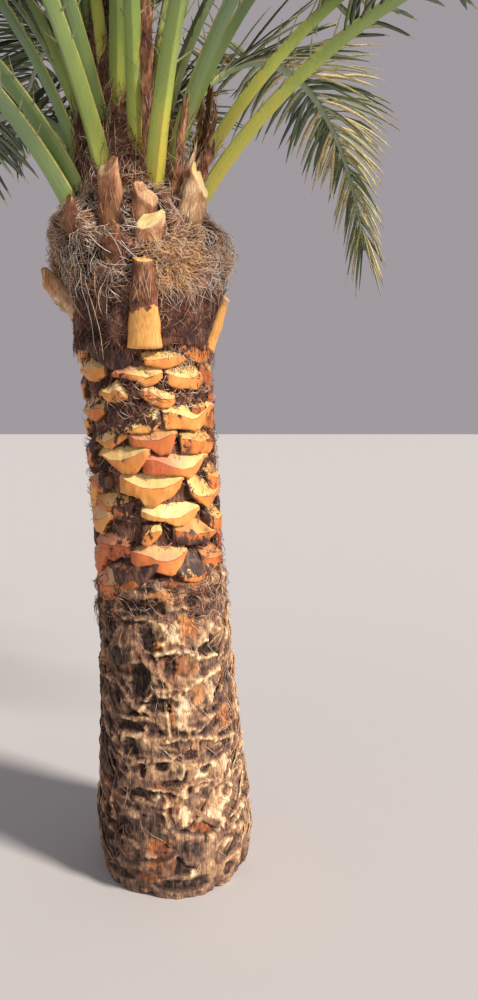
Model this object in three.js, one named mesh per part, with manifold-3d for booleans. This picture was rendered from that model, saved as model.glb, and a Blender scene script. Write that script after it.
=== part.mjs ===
// A young date palm with a trimmed trunk, built leaf by leaf.
// Every leaf that the palm ever grew follows one spiral round the trunk: the oldest are weathered bases,
// then freshly cut bases, then petiole stubs in a collar of fibre, then living fronds and two spears.
// Millimetres, +Z up. The origin is the centre of the trunk where it meets level ground.
import * as THREE from "three";
import { mergeVertices } from "three/addons/utils/BufferGeometryUtils.js";
import Module from "manifold-3d";

const wasm = await Module();
wasm.setup();

// The spiral. Leaf 0 is the lowest and oldest.
const LEAF_TURN = -137.75; // degrees from each leaf to the next one up
const FRONT_LEAF = 93;
const FRONT_AZIMUTH = -66.9; // degrees from +X towards +Y, at the front leaf

// The stretches of trunk, from the ground up: first leaf, its height and the rise to the next
const OLD = { first: 0, from: 40, rise: 13.3 };
const CUT = { first: 70, from: 969, rise: 9.46 };
const STUBBED = { first: 139, from: 1622, rise: 9.46 };
const CROWN = { first: 180, from: 2065, rise: 10.9, count: 34 };
const SPEARS = { first: 216, from: 2500, rise: 40, count: 2 };

// Stubs: [leaf, length, lean, width at the trunk, width at the cut, stand, turn, rise]. Stand is how far the
// middle of its root stands off the core, and turn and rise are how far it strays from the spiral. The first
// ten rows are in front, the others behind.
const STUBS = [
  [148, 236, 15, 104, 62, 16, 0, -17],
  [150, 166, 20, 98, 54, 8, 0, -34],
  [159, 186, 48, 64, 44, -30, 0, -44],
  [167, 152, 50, 74, 56, -30, 0, -12],
  [169, 186, 24, 84, 58, 10, -5, -90],
  [172, 180, 27, 98, 76, 0, 16, -24],
  [174, 190, 22, 92, 70, 8, -11, -103],
  [177, 226, 13, 98, 64, 0, 15, -31],
  [179, 229, 22, 104, 66, -14, -2, -65],
  [182, 184, 16, 80, 56, 0, 10, -109],
  [155, 180, 34, 92, 60, -20, 0, -20],
  [160, 172, 40, 88, 58, -30, 0, -20],
  [165, 176, 36, 92, 60, -20, 0, -30],
  [170, 180, 34, 84, 56, -20, 0, -30],
  [175, 190, 26, 92, 60, -10, 0, -50],
  [178, 206, 22, 90, 58, -10, 0, -50],
  [181, 196, 18, 90, 58, -10, 0, -70],
];
const STUB_DROP = 50; // a stub's root lies this far under its leaf's height
const STUB_THICK = [42, 28]; // at the trunk and at the cut

// The trunk's core: [height, radius] under the leaf bases, from the foot to the growing tip
const CORE = [
  [0, 222],
  [100, 233],
  [240, 227],
  [460, 208],
  [700, 193],
  [940, 182],
  [1180, 176],
  [1450, 178],
  [1640, 181],
  [1800, 175],
  [1940, 166],
  [2080, 154],
  [2220, 130],
  [2400, 92],
  [2560, 50],
  [2640, 20],
];
const CORE_SIDES = 18;
const LEAN = 0.033; // sideways run for each millimetre of height at the foot
const LEAN_GROWTH = 1.05e-5; // and its increase with height, per millimetre

// The collar of fibre: [height, outer radius]
const COLLAR = [
  [1668, 190],
  [1682, 205],
  [1760, 225],
  [1850, 243],
  [1930, 258],
  [1985, 250],
  [2035, 214],
  [2072, 176],
];
const COLLAR_SIDES = 18;
const COLLAR_ROUGH = 0.045; // share by which its radius wanders
const COLLAR_BIAS = 0.05; // and by which it is fuller towards +X

// Leaf bases cut off short. Heights are from the leaf's own height.
const OLD_BASE = { width: 182, top: 48, lip: -6, drop: 84, out: 22, sections: [-1, 0, 1] };
const CUT_BASE = { width: 176, top: 34, lip: -8, drop: 66, out: 22, sections: [-1, -0.4, 0.4, 1] };
const BASE_SINK = 16; // how far a base's root lies inside the core
const BASE_SKEW = 0.1; // a turn of bases rises by this much for each millimetre towards +X
// Weathered bases that stray from the spiral: leaf, then turn in degrees and rise
const OLD_STRAYS = new Map([
  [67, [0, 10]],
  [62, [0, -20]],
  [59, [-5, 15]],
  [57, [14, -28]],
  [54, [12, -16]],
  [51, [-10, -42]],
  [49, [15, 8]],
  [46, [-8, -50]],
  [44, [15, 0]],
  [41, [-7, -70]],
  [38, [-10, -50]],
  [33, [-14, -44]],
  [25, [0, 36]],
  [20, [14, 0]],
  [17, [-8, 26]],
  [15, [13, 30]],
  [7, [-9, 4]],
]);

// Fronds. Pairs are for the oldest and the youngest.
const FROND_LENGTH = { oldest: 2420, middle: 2640, youngest: 2080 };
const FROND_LEAN = [27, 4]; // degrees from upright where it leaves the trunk
const FROND_TIP_LEAN = [156, 38]; // and at its tip
const BEND_POWER = [0.95, 1.1];
const FROND_DROP = [150, 50]; // a frond's root lies this far under its leaf's height
const FROND_ROOT = 30; // how far its root starts inside the core
// Fronds that stray from the rule: leaf, then turn, lean and tip lean in degrees, a share of length and how
// far the root is turned round the trunk
const STRAYS = new Map([
  [180, [28, -1, -10, 0.97, 14]],
  [183, [-8, 0, 0, 1, 0]],
  [184, [-8, 4, -12, 1.12, 0]],
  [185, [-8, 0, 0, 1, -4]],
  [186, [14, 0, 0, 0.95, 0]],
  [187, [-7, -1, 0, 1, -4]],
  [189, [-7, 4, -12, 1.1, -17]],
  [190, [0, 1, 0, 1, -5]],
  [192, [-6, -6, 0, 1, 0]],
  [193, [-14, -5, 0, 1, 0]],
  [194, [0, 3, 44, 0.95, 0]],
  [195, [-18, 0, 0, 1, 6]],
  [198, [-10, -1, 0, 1, 14]],
  [203, [15, 0, 0, 1, 3]],
]);
const PETIOLE_WIDTH = [86, 56]; // at the trunk
const PETIOLE_THICK = [38, 27];
const RACHIS_TIP = [9, 7]; // width and thickness at the tip
const PETIOLE_SHARE = 0.27; // of the frond's length is bare petiole
const PETIOLE_STATIONS = [0, 0.06, 0.14, 0.21];
const TOOTH_PAIRS = 11;
const LEAFLET_LENGTH = 420;
const LEAFLET_SPREAD = [64, 24]; // degrees from the rachis, at its base and tip
const LEAFLET_LIFT = 24; // degrees above the blade's plane
const LEAFLET_SAG = 0.1; // share of its length by which a leaflet's tip sinks

// Spears: leaves that haven't opened
const SPEAR_LENGTH = [1500, 1250];
const SPEAR_WIDTH = 44;
const SPEAR_LEAN = [1.5, 0.5];

const GAP = 0.3; // between pieces that touch
const PASSAGE = 0.6; // round what passes through the collar
const UP = new THREE.Vector3(0, 0, 1);

const radians = THREE.MathUtils.degToRad;
const mix = THREE.MathUtils.lerp;

// A fixed pseudo-random number from 0 to 1 for leaf n
function chance(n, salt) {
  const wave = Math.sin(n * 12.9898 + salt * 78.233) * 43758.5453;
  return wave - Math.floor(wave);
}

// A smooth curve through [place, value] pairs
function along(pairs, place) {
  const last = pairs.length - 2;
  let i = 0;
  while (i < last && place > pairs[i + 1][0]) i += 1;
  const [x0, y0] = pairs[i];
  const [x1, y1] = pairs[i + 1];
  const slope = (a, b) => (pairs[b][1] - pairs[a][1]) / (pairs[b][0] - pairs[a][0]);
  const m0 = i > 0 ? slope(i - 1, i + 1) : slope(i, i + 1);
  const m1 = i < last ? slope(i, i + 2) : slope(i, i + 1);
  const span = x1 - x0;
  const t = THREE.MathUtils.clamp((place - x0) / span, 0, 1);
  const t2 = t * t;
  const t3 = t2 * t;
  const ends = (2 * t3 - 3 * t2 + 1) * y0 + (3 * t2 - 2 * t3) * y1;
  return ends + ((t3 - 2 * t2 + t) * m0 + (t3 - t2) * m1) * span;
}

const axisX = (z) => -(LEAN * z + LEAN_GROWTH * z * z);
const coreRadius = (z) => along(CORE, z);
const heightOf = (leaf, stretch) => stretch.from + (leaf - stretch.first) * stretch.rise;
const azimuthOf = (leaf) => radians((leaf - FRONT_LEAF) * LEAF_TURN + FRONT_AZIMUTH);
const outward = (azimuth) => new THREE.Vector3(Math.cos(azimuth), Math.sin(azimuth), 0);
const leaning = (azimuth, lean) =>
  outward(azimuth).multiplyScalar(Math.sin(lean)).addScaledVector(UP, Math.cos(lean));

// A point at a radius and height, measured from the leaning axis
const roundTrunk = (azimuth, radius, z) =>
  new THREE.Vector3(axisX(z) + radius * Math.cos(azimuth), radius * Math.sin(azimuth), z);

// A geometry from vertices and triangles
function geometryFrom(vertices, triangles) {
  const flat = new Float32Array(vertices.flatMap((v) => [v.x, v.y, v.z]));
  const made = new THREE.BufferGeometry();
  made.setAttribute("position", new THREE.BufferAttribute(flat, 3));
  made.setIndex(triangles);
  return made;
}

// A closed geometry as a solid, with its faces turned to point out
function solidOf(geometry) {
  const merged = mergeVertices(geometry, 1e-4);
  const triVerts = new Uint32Array(merged.index.array);
  const vertProperties = merged.attributes.position.array;
  const build = () => new wasm.Manifold(new wasm.Mesh({ numProp: 3, vertProperties, triVerts }));
  const made = build();
  if (made.volume() > 0) return made;
  for (let i = 0; i < triVerts.length; i += 3) {
    [triVerts[i + 1], triVerts[i + 2]] = [triVerts[i + 2], triVerts[i + 1]];
  }
  return build();
}

// A solid back to a geometry
function geometryOf(solid) {
  const mesh = solid.getMesh();
  const made = new THREE.BufferGeometry();
  made.setAttribute("position", new THREE.BufferAttribute(new Float32Array(mesh.vertProperties), 3));
  made.setIndex(new THREE.BufferAttribute(new Uint32Array(mesh.triVerts), 1));
  return made;
}

// The largest of a solid's separate bodies
function largest(solid) {
  const bodies = solid.decompose();
  return bodies.reduce((best, body) => (body.volume() > best.volume() ? body : best), bodies[0]);
}

// Triangles that join ring after ring of the same number of points, with flat ends.
// tipOf(segment, side) may give a point that the side between two rings is drawn out to.
function skin(rings, tipOf = () => null) {
  const size = rings[0].length;
  const vertices = rings.flat();
  const triangles = [];
  for (let i = 0; i + 1 < rings.length; i += 1) {
    for (let a = 0; a < size; a += 1) {
      const b = (a + 1) % size;
      const quad = [i * size + a, i * size + b, (i + 1) * size + b, (i + 1) * size + a];
      const tip = tipOf(i, a);
      if (tip) {
        vertices.push(tip);
        quad.forEach((corner, c) => triangles.push(corner, quad[(c + 1) % 4], vertices.length - 1));
      } else {
        triangles.push(quad[0], quad[1], quad[2], quad[0], quad[2], quad[3]);
      }
    }
  }
  const end = (rings.length - 1) * size;
  for (let a = 1; a + 1 < size; a += 1) {
    triangles.push(0, a + 1, a);
    triangles.push(end, end + a, end + a + 1);
  }
  return geometryFrom(vertices, triangles);
}

// A ring of points round the leaning axis; radius is a number or a function of the azimuth
function trunkRing(z, radius, sides) {
  return Array.from({ length: sides }, (_, i) => {
    const azimuth = (i / sides) * 2 * Math.PI;
    return roundTrunk(azimuth, typeof radius === "function" ? radius(azimuth) : radius, z);
  });
}

// The core, grown outwards by a margin
function core(margin = 0) {
  return solidOf(skin(CORE.map(([z, r]) => trunkRing(z, r + margin, CORE_SIDES))));
}

// One leaf base: a broad scale whose cut slopes down and out to a sagging lip, with a face under the lip
// that runs back to the trunk
function leafBase(leaf, stretch, size) {
  const [turn, rise] = OLD_STRAYS.get(leaf) ?? [0, 0];
  const azimuth = azimuthOf(leaf) + radians(turn);
  const level = heightOf(leaf, stretch) + rise;
  const z = level + BASE_SKEW * coreRadius(level) * Math.cos(azimuth);
  const width = size.width * mix(0.9, 1.08, chance(leaf, 1));
  const out = size.out * mix(0.72, 1.2, chance(leaf, 2));
  const tilt = mix(-8, 8, chance(leaf, 3));
  const sections = size.sections.map((s) => {
    const belly = 1 - s * s;
    const top = z + size.top + tilt * s;
    const lip = z + mix(size.top - 12, size.lip, belly) + tilt * s;
    const bottom = z + mix(size.top - 30, -size.drop, belly ** 0.8) + tilt * s;
    const turned = azimuth + (s * width) / 2 / (coreRadius(z) + out / 2);
    const at = (height, depth) => roundTrunk(turned, coreRadius(height) + depth, height);
    return [at(top, -BASE_SINK), at(lip, mix(4, out, belly ** 0.7)), at(bottom, -BASE_SINK)];
  });
  return solidOf(skin(sections));
}

// A slab that removes what lies below the ground
function underground() {
  const slab = new THREE.BoxGeometry(900, 900, 200);
  slab.deleteAttribute("normal");
  slab.deleteAttribute("uv");
  slab.translate(0, 0, -100);
  return solidOf(slab);
}

// The whole trunk, from its flat foot to the growing tip, with every leaf base below the collar
function trunk() {
  const bases = [];
  for (let leaf = OLD.first; leaf < CUT.first; leaf += 1) {
    bases.push(leafBase(leaf, OLD, OLD_BASE));
  }
  for (let leaf = CUT.first; leaf < STUBBED.first; leaf += 1) {
    bases.push(leafBase(leaf, CUT, CUT_BASE));
  }
  return largest(wasm.Manifold.union([core(), ...bases]).subtract(underground()));
}

// A six-sided section of a petiole, as shares of its width and thickness. Its first and fourth corners are
// its edges, and its next two lie on the inner side.
const SIX_SIDED = [
  [-0.5, -0.2],
  [-0.3, 0.5],
  [0.3, 0.5],
  [0.5, -0.2],
  [0.26, -0.5],
  [-0.26, -0.5],
];

// A ring of the six-sided section in the frame of a run and its side
function sixSided(point, side, out, width, thick, slant = 0, run = UP) {
  return SIX_SIDED.map(([u, v]) =>
    point
      .clone()
      .addScaledVector(side, u * width)
      .addScaledVector(out, v * thick)
      .addScaledVector(run, -slant * v * thick),
  );
}

// One petiole stub: a tapering plank that leans out of the collar and ends in a slanting cut
function stub([leaf, length, leanDegrees, rootWidth, cutWidth, stand, turn, rise], margin = 0) {
  const z = heightOf(leaf, STUBBED) - STUB_DROP + rise;
  const azimuth = azimuthOf(leaf) + radians(turn);
  const run = leaning(azimuth, radians(leanDegrees));
  const side = new THREE.Vector3().crossVectors(UP, outward(azimuth));
  const out = new THREE.Vector3().crossVectors(side, run);
  const root = roundTrunk(azimuth, coreRadius(z) + stand, z);
  const slant = mix(-0.2, 0.5, chance(leaf, 6));
  const rings = [0, 0.5, 1].map((share) => {
    const width = mix(rootWidth, cutWidth, share ** 0.8) + 2 * margin;
    const thick = mix(...STUB_THICK, share ** 0.8) + 2 * margin;
    const far = share * (length + 2 * margin) - margin;
    const point = root.clone().addScaledVector(run, far);
    return sixSided(point, side, out, width, thick, share === 1 ? slant : 0, run);
  });
  return solidOf(skin(rings));
}

// The frond of a leaf: its age from 1 (oldest) to 0, its length, and at(share), which gives the point,
// run, upper side and edge side at a share of its length
function frondOf(leaf) {
  const age = 1 - (leaf - CROWN.first) / CROWN.count;
  const z = heightOf(leaf, CROWN) - mix(FROND_DROP[1], FROND_DROP[0], age);
  const [turn, lift, droop, growth, step] = STRAYS.get(leaf) ?? [0, 0, 0, 1, 0];
  const rooted = azimuthOf(leaf) + radians(step);
  const azimuth = rooted + radians(mix(-4, 4, chance(leaf, 11)) + turn);
  const { oldest, middle, youngest } = FROND_LENGTH;
  const base = age > 0.5 ? mix(middle, oldest, 2 * age - 1) : mix(youngest, middle, 2 * age);
  const length = base * mix(0.95, 1.04, chance(leaf, 7)) * growth;
  const pick = ([old, young], power) => mix(young, old, age ** power);
  const lean = pick(FROND_LEAN, 0.8) + mix(-1.5, 1.5, chance(leaf, 8)) + lift;
  const tipLean = pick(FROND_TIP_LEAN, 0.9) + mix(-5, 5, chance(leaf, 9)) + droop;
  const power = pick(BEND_POWER, 1);
  const sweep = mix(-9, 9, chance(leaf, 10));
  const steps = 60;
  const stations = [];
  const point = roundTrunk(rooted, coreRadius(z) - FROND_ROOT, z);
  for (let i = 0; i <= steps; i += 1) {
    const share = i / steps;
    const tilt = radians(lean + (tipLean - lean) * share ** power);
    const turned = azimuth + radians(sweep * share * share);
    const run = leaning(turned, tilt);
    const side = new THREE.Vector3().crossVectors(UP, outward(turned)).negate();
    const upper = new THREE.Vector3().crossVectors(side, run);
    stations.push({ point: point.clone(), run, upper, side });
    point.addScaledVector(run, length / steps);
  }
  const at = (share) => {
    const place = Math.min(share * steps, steps - 1e-6);
    const i = Math.floor(place);
    const blend = (key) => stations[i][key].clone().lerp(stations[i + 1][key], place - i);
    const [run, upper, side] = ["run", "upper", "side"].map((key) => blend(key).normalize());
    return { point: blend("point"), run, upper, side };
  };
  return { leaf, age, length, at };
}

// Width and thickness of the petiole and rachis at a share of the frond's length
function rachisSize(age, share) {
  const width = mix(PETIOLE_WIDTH[1], PETIOLE_WIDTH[0], age);
  const thick = mix(PETIOLE_THICK[1], PETIOLE_THICK[0], age);
  const taper = (1 - share) ** 0.8;
  const swell = Math.exp(-share * 20);
  return [
    width * (0.36 * swell + 0.64 * taper) + RACHIS_TIP[0] * share,
    thick * (0.2 * swell + 0.8 * taper) + RACHIS_TIP[1] * share,
  ];
}

// The four corners of the petiole or rachis: upper left, upper right, lower right, lower left
function rachisRing(frond, share, margin) {
  const { point, upper, side } = frond.at(share);
  const [width, thick] = rachisSize(frond.age, share);
  const half = width / 2 + margin;
  const up = thick / 2 + margin;
  const corner = (u, v) => point.clone().addScaledVector(side, u).addScaledVector(upper, v);
  return [corner(-half, up), corner(half, up), corner(half * 0.7, -up), corner(-half * 0.7, -up)];
}

const bladeShare = (tooth) => mix(PETIOLE_SHARE, 0.985, tooth / TOOTH_PAIRS);
const BLADE_SHARES = Array.from({ length: TOOTH_PAIRS + 1 }, (_, tooth) => bladeShare(tooth));
const SHARES = [...PETIOLE_STATIONS, ...BLADE_SHARES];
const FIRST_TOOTH = PETIOLE_STATIONS.length;

// Where the group of leaflets that starts at a share of the rachis ends. hand is -1 on the left, 1 on the
// right.
function leafletTip(frond, share, hand) {
  const { point, run, upper, side } = frond.at(share);
  const blade = (share - PETIOLE_SHARE) / (1 - PETIOLE_SHARE);
  const length = LEAFLET_LENGTH * (0.5 + 0.5 * Math.sin(Math.PI * Math.min(1, blade * 1.25 + 0.12)));
  const spread = radians(mix(...LEAFLET_SPREAD, blade));
  const lift = radians(LEAFLET_LIFT);
  return point
    .clone()
    .addScaledVector(run, length * Math.cos(spread))
    .addScaledVector(side, hand * length * Math.sin(spread) * Math.cos(lift))
    .addScaledVector(upper, length * Math.sin(spread) * Math.sin(lift))
    .addScaledVector(UP, -LEAFLET_SAG * length);
}

// A frond's skin, with those leaflet groups that keep(tooth, hand) allows
function frondSkin(frond, keep, margin = 0) {
  const rings = SHARES.map((share) => rachisRing(frond, share, margin));
  const hands = { 1: 1, 3: -1 };
  return skin(rings, (segment, face) => {
    const tooth = segment - FIRST_TOOTH;
    const hand = hands[face];
    if (tooth < 0 || !hand || !keep(tooth, hand)) return null;
    return leafletTip(frond, (SHARES[segment] + SHARES[segment + 1]) / 2, hand);
  });
}

// One leaflet group alone, to test what it touches
function leafletSolid(frond, tooth, hand) {
  const [low, high] = [bladeShare(tooth), bladeShare(tooth + 1)];
  const near = rachisRing(frond, low, 0.5);
  const far = rachisRing(frond, high, 0.5);
  const [a, b] = hand > 0 ? [1, 2] : [3, 0];
  const vertices = [near[a], near[b], far[b], far[a], leafletTip(frond, (low + high) / 2, hand)];
  return solidOf(geometryFrom(vertices, [0, 2, 1, 0, 3, 2, 0, 1, 4, 1, 2, 4, 2, 3, 4, 3, 0, 4]));
}

// True where two solids' boxes meet
function near(a, b) {
  const [p, q] = [a.boundingBox(), b.boundingBox()];
  return [0, 1, 2].every((k) => p.min[k] <= q.max[k] && q.min[k] <= p.max[k]);
}

const touches = (a, b) => near(a, b) && a.intersect(b).volume() > 0;

// A spear: a slim pointed bundle of folded leaf that stands nearly upright
function spear(order, margin = 0) {
  const z = SPEARS.from + order * SPEARS.rise;
  const azimuth = azimuthOf(SPEARS.first + order);
  const run = leaning(azimuth, radians(SPEAR_LEAN[order]));
  const side = new THREE.Vector3().crossVectors(UP, outward(azimuth));
  const out = new THREE.Vector3().crossVectors(side, run);
  const root = roundTrunk(azimuth, coreRadius(z) - 20, z);
  const rings = [0, 0.1, 0.35, 0.7, 1].map((share) => {
    const swell = 0.55 + 0.45 * Math.sin(Math.PI * Math.min(1, share + 0.22));
    const width = SPEAR_WIDTH * swell * (1 - share ** 3) + 3 + 2 * margin;
    const point = root.clone().addScaledVector(run, share * (SPEAR_LENGTH[order] + margin));
    return sixSided(point, side, out, width, width * 0.6);
  });
  return solidOf(skin(rings));
}

// Every frond. A group of leaflets that would touch another frond, a stub or a spear is left out, and the
// root of an older frond makes room for the younger ones that it clasps.
function openFronds(trunkRoom, others) {
  const cut = new Set(STUBS.map(([leaf]) => leaf));
  const leaves = Array.from({ length: CROWN.count + 1 }, (_, i) => CROWN.first + i);
  const runs = leaves.filter((leaf) => !cut.has(leaf)).map(frondOf);
  const rooms = runs.map((frond) => solidOf(frondSkin(frond, () => false, 1)));
  const made = [];
  runs.forEach((frond, order) => {
    const around = [...made, ...rooms.slice(order + 1), ...others];
    const keep = (tooth, hand) => {
      const group = leafletSolid(frond, tooth, hand);
      return !around.some((other) => touches(group, other));
    };
    let solid = solidOf(frondSkin(frond, keep)).subtract(trunkRoom);
    for (const other of [...rooms.slice(order + 1), ...others]) {
      if (near(solid, other)) solid = solid.subtract(other);
    }
    made.push(largest(solid));
  });
  return { made, rooms };
}

// The collar: a shaggy sleeve round the core, open where stubs and petioles pass through it
function collar(through) {
  const wander = (z) => (azimuth) => {
    const wave = 0.6 * Math.sin(3 * azimuth + z / 90) + 0.4 * Math.sin(7 * azimuth - z / 40);
    return along(COLLAR, z) * (1 + COLLAR_ROUGH * wave + COLLAR_BIAS * Math.cos(azimuth));
  };
  const sleeve = solidOf(skin(COLLAR.map(([z]) => trunkRing(z, wander(z), COLLAR_SIDES))));
  return largest(sleeve.subtract(wasm.Manifold.union(through)));
}

// The palm
const palm = new THREE.Group();

function add(name, solid, color, roughness) {
  const material = new THREE.MeshStandardMaterial({ color, roughness, metalness: 0 });
  const mesh = new THREE.Mesh(geometryOf(solid), material);
  mesh.name = name;
  palm.add(mesh);
}

const wholeTrunk = trunk();
const trunkRoom = core(GAP);
const spearRooms = SPEAR_LENGTH.map((_, order) => spear(order, 1));
const spears = SPEAR_LENGTH.map((_, order) => largest(spear(order).subtract(trunkRoom)));
const stubRooms = STUBS.map((row) => stub(row, PASSAGE));
const stubs = STUBS.map((row, i) => {
  const later = stubRooms.filter((other, j) => j > i && touches(other, stubRooms[i]));
  return largest(stub(row).subtract(wasm.Manifold.union([trunkRoom, ...later])));
});
const fronds = openFronds(trunkRoom, [...stubRooms, ...spearRooms]);
const fibre = collar([trunkRoom, ...stubRooms, ...fronds.rooms]);

add("trunk", wholeTrunk, 0xa9774a, 0.9);
add("fibre_collar", fibre, 0x6b4a35, 1);
stubs.forEach((solid, i) => add(`petiole_stub_${i + 1}`, solid, 0xb98a5c, 0.85));
fronds.made.forEach((solid, i) => add(`frond_${i + 1}`, solid, 0x6f8a3a, 0.6));
spears.forEach((solid, i) => add(`spear_${i + 1}`, solid, 0x9db05a, 0.6));

export default palm;
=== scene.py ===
# The looks of a young date palm with a trimmed trunk. Metres, +Z up, the origin where the trunk meets the
# ground. Every leaf follows one spiral round the trunk, the same one that the solids follow.
import itertools
import math

import bpy
import numpy as np
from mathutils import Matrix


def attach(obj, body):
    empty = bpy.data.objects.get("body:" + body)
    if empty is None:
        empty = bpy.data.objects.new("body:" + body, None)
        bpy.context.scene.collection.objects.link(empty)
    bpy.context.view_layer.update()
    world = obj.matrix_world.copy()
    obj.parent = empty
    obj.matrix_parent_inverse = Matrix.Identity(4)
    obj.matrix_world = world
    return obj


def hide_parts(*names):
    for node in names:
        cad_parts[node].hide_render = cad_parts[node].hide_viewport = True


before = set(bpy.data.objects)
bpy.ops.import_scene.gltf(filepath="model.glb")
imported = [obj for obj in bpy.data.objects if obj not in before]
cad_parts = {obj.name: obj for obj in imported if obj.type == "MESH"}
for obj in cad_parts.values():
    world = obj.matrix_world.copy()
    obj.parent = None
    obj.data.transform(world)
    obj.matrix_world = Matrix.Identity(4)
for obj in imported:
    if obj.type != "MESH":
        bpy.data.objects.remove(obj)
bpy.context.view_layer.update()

NODES = sorted(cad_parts)
FROND_NODES = [name for name in NODES if name.startswith("frond_")]
STUB_NODES = [name for name in NODES if name.startswith("petiole_stub_")]
SPEAR_NODES = [name for name in NODES if name.startswith("spear_")]

# The spiral: leaf 0 is the lowest and oldest
LEAF_TURN = -137.75
FRONT_LEAF = 93
FRONT_AZIMUTH = -66.9

# The stretches of trunk: first leaf, its height, the rise to the next
OLD = (0, 0.040, 0.0133)
CUT = (70, 0.969, 0.00946)
STUBBED = (139, 1.622, 0.00946)
CROWN = (180, 2.065, 0.0109)
SPEARS = (216, 2.500, 0.040)
CROWN_COUNT = 34
SPEAR_COUNT = 2

# The trunk's core under the leaf bases: height, radius
CORE = [
    (0, 0.222), (0.1, 0.233), (0.24, 0.227), (0.46, 0.208), (0.7, 0.193), (0.94, 0.182), (1.18, 0.176),
    (1.45, 0.178), (1.64, 0.181), (1.8, 0.175), (1.94, 0.166), (2.08, 0.154), (2.22, 0.130), (2.4, 0.092),
    (2.56, 0.050), (2.64, 0.020),
]
LEAN = 0.033
LEAN_GROWTH = 0.0105

# The collar of fibre: height, outer radius
COLLAR = [
    (1.668, 0.190), (1.682, 0.205), (1.76, 0.225), (1.85, 0.243), (1.93, 0.258), (1.985, 0.250),
    (2.035, 0.214), (2.072, 0.176),
]
COLLAR_ROUGH = 0.045
COLLAR_BIAS = 0.05
BELT_TOP = 1.775

# How far a fresh leaf base stands out, and how much higher the weathered ones lie towards +X, as a share of
# the radius
CUT_OUT = 0.022
BASE_SKEW = 0.1
# Weathered bases that stray from the spiral: turn in degrees and rise
OLD_STRAYS = {
    67: (0, 0.010), 62: (0, -0.020), 59: (-5, 0.015), 57: (14, -0.028), 54: (12, -0.016),
    51: (-10, -0.042), 49: (15, 0.008), 46: (-8, -0.050), 44: (15, 0), 41: (-7, -0.070),
    38: (-10, -0.050), 33: (-14, -0.044), 25: (0, 0.036), 20: (14, 0), 17: (-8, 0.026), 15: (13, 0.030),
    7: (-9, 0.004),
}

# The share of a stub that stands clear of the fibre
STUB_BARE = {
    148: 1.0, 150: 1.0, 159: 0.8, 167: 0.8, 169: 0.42, 172: 0.5, 174: 0.34, 177: 0.75, 179: 0.6,
    182: 0.45,
}
# Stubs: leaf, length, lean in degrees, width at the trunk, width at the cut, stand off the core, then the
# turn and the rise by which the root strays from the spiral
STUBS = [
    (148, 0.236, 15, 0.104, 0.062, 0.016, 0, -0.017), (150, 0.166, 20, 0.098, 0.054, 0.008, 0, -0.034),
    (159, 0.186, 48, 0.064, 0.044, -0.030, 0, -0.044), (167, 0.152, 50, 0.074, 0.056, -0.030, 0, -0.012),
    (169, 0.186, 24, 0.084, 0.058, 0.010, -5, -0.090), (172, 0.180, 27, 0.098, 0.076, 0, 16, -0.024),
    (174, 0.190, 22, 0.092, 0.070, 0.008, -11, -0.103), (177, 0.226, 13, 0.098, 0.064, 0, 15, -0.031),
    (179, 0.229, 22, 0.104, 0.066, -0.014, -2, -0.065), (182, 0.184, 16, 0.080, 0.056, 0, 10, -0.109),
    (155, 0.180, 34, 0.092, 0.060, -0.020, 0, -0.020), (160, 0.172, 40, 0.088, 0.058, -0.030, 0, -0.020),
    (165, 0.176, 36, 0.092, 0.060, -0.020, 0, -0.030), (170, 0.180, 34, 0.084, 0.056, -0.020, 0, -0.030),
    (175, 0.190, 26, 0.092, 0.060, -0.010, 0, -0.050), (178, 0.206, 22, 0.090, 0.058, -0.010, 0, -0.050),
    (181, 0.196, 18, 0.090, 0.058, -0.010, 0, -0.070),
]
STUB_DROP = 0.050
STUB_THICK = (0.042, 0.028)

# Fronds. Pairs are for the oldest and the youngest, and the three lengths also for the middle one.
FROND_LENGTH = (2.42, 2.64, 2.08)
FROND_LEAN = (27, 4)
FROND_TIP_LEAN = (156, 38)
BEND_POWER = (0.95, 1.1)
FROND_DROP = (0.150, 0.050)
FROND_ROOT = 0.030
# Fronds that stray from the rule: turn, lean and tip lean in degrees, a share of length, how far the root is
# turned round the trunk
STRAYS = {
    180: (28, -1, -10, 0.97, 14), 183: (-8, 0, 0, 1, 0), 184: (-8, 4, -12, 1.12, 0),
    185: (-8, 0, 0, 1, -4), 186: (14, 0, 0, 0.95, 0), 187: (-7, -1, 0, 1, -4),
    189: (-7, 4, -12, 1.1, -17), 190: (0, 1, 0, 1, -5), 192: (-6, -6, 0, 1, 0), 193: (-14, -5, 0, 1, 0),
    194: (0, 3, 44, 0.95, 0), 195: (-18, 0, 0, 1, 6), 198: (-10, -1, 0, 1, 14), 203: (15, 0, 0, 1, 3),
}
PETIOLE_WIDTH = (0.086, 0.056)
PETIOLE_THICK = (0.038, 0.027)
RACHIS_TIP = (0.009, 0.007)
PETIOLE_SHARE = 0.27
SPINES_IN_ROW = 6
LEAFLET_LENGTH = 0.42
LEAFLET_SPREAD = (64, 24)
LEAFLET_LIFT = 24
LEAFLET_SAG = 0.1
SPEAR_LENGTH = (1.5, 1.25)
SPEAR_WIDTH = 0.044
SPEAR_LEAN = (1.5, 0.5)

UP = np.array([0.0, 0.0, 1.0])
MM = 0.001
ROUND = (-180, 180)
FRONT = math.radians(-83.9)
draw = np.random.default_rng(41)


def mix(a, b, t):
    return a + (b - a) * t


def chance(n, salt):
    """A fixed number from 0 to 1 for leaf n, the same as the solids use."""
    wave = np.sin(np.asarray(n) * 12.9898 + salt * 78.233) * 43758.5453
    return wave - np.floor(wave)


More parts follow.
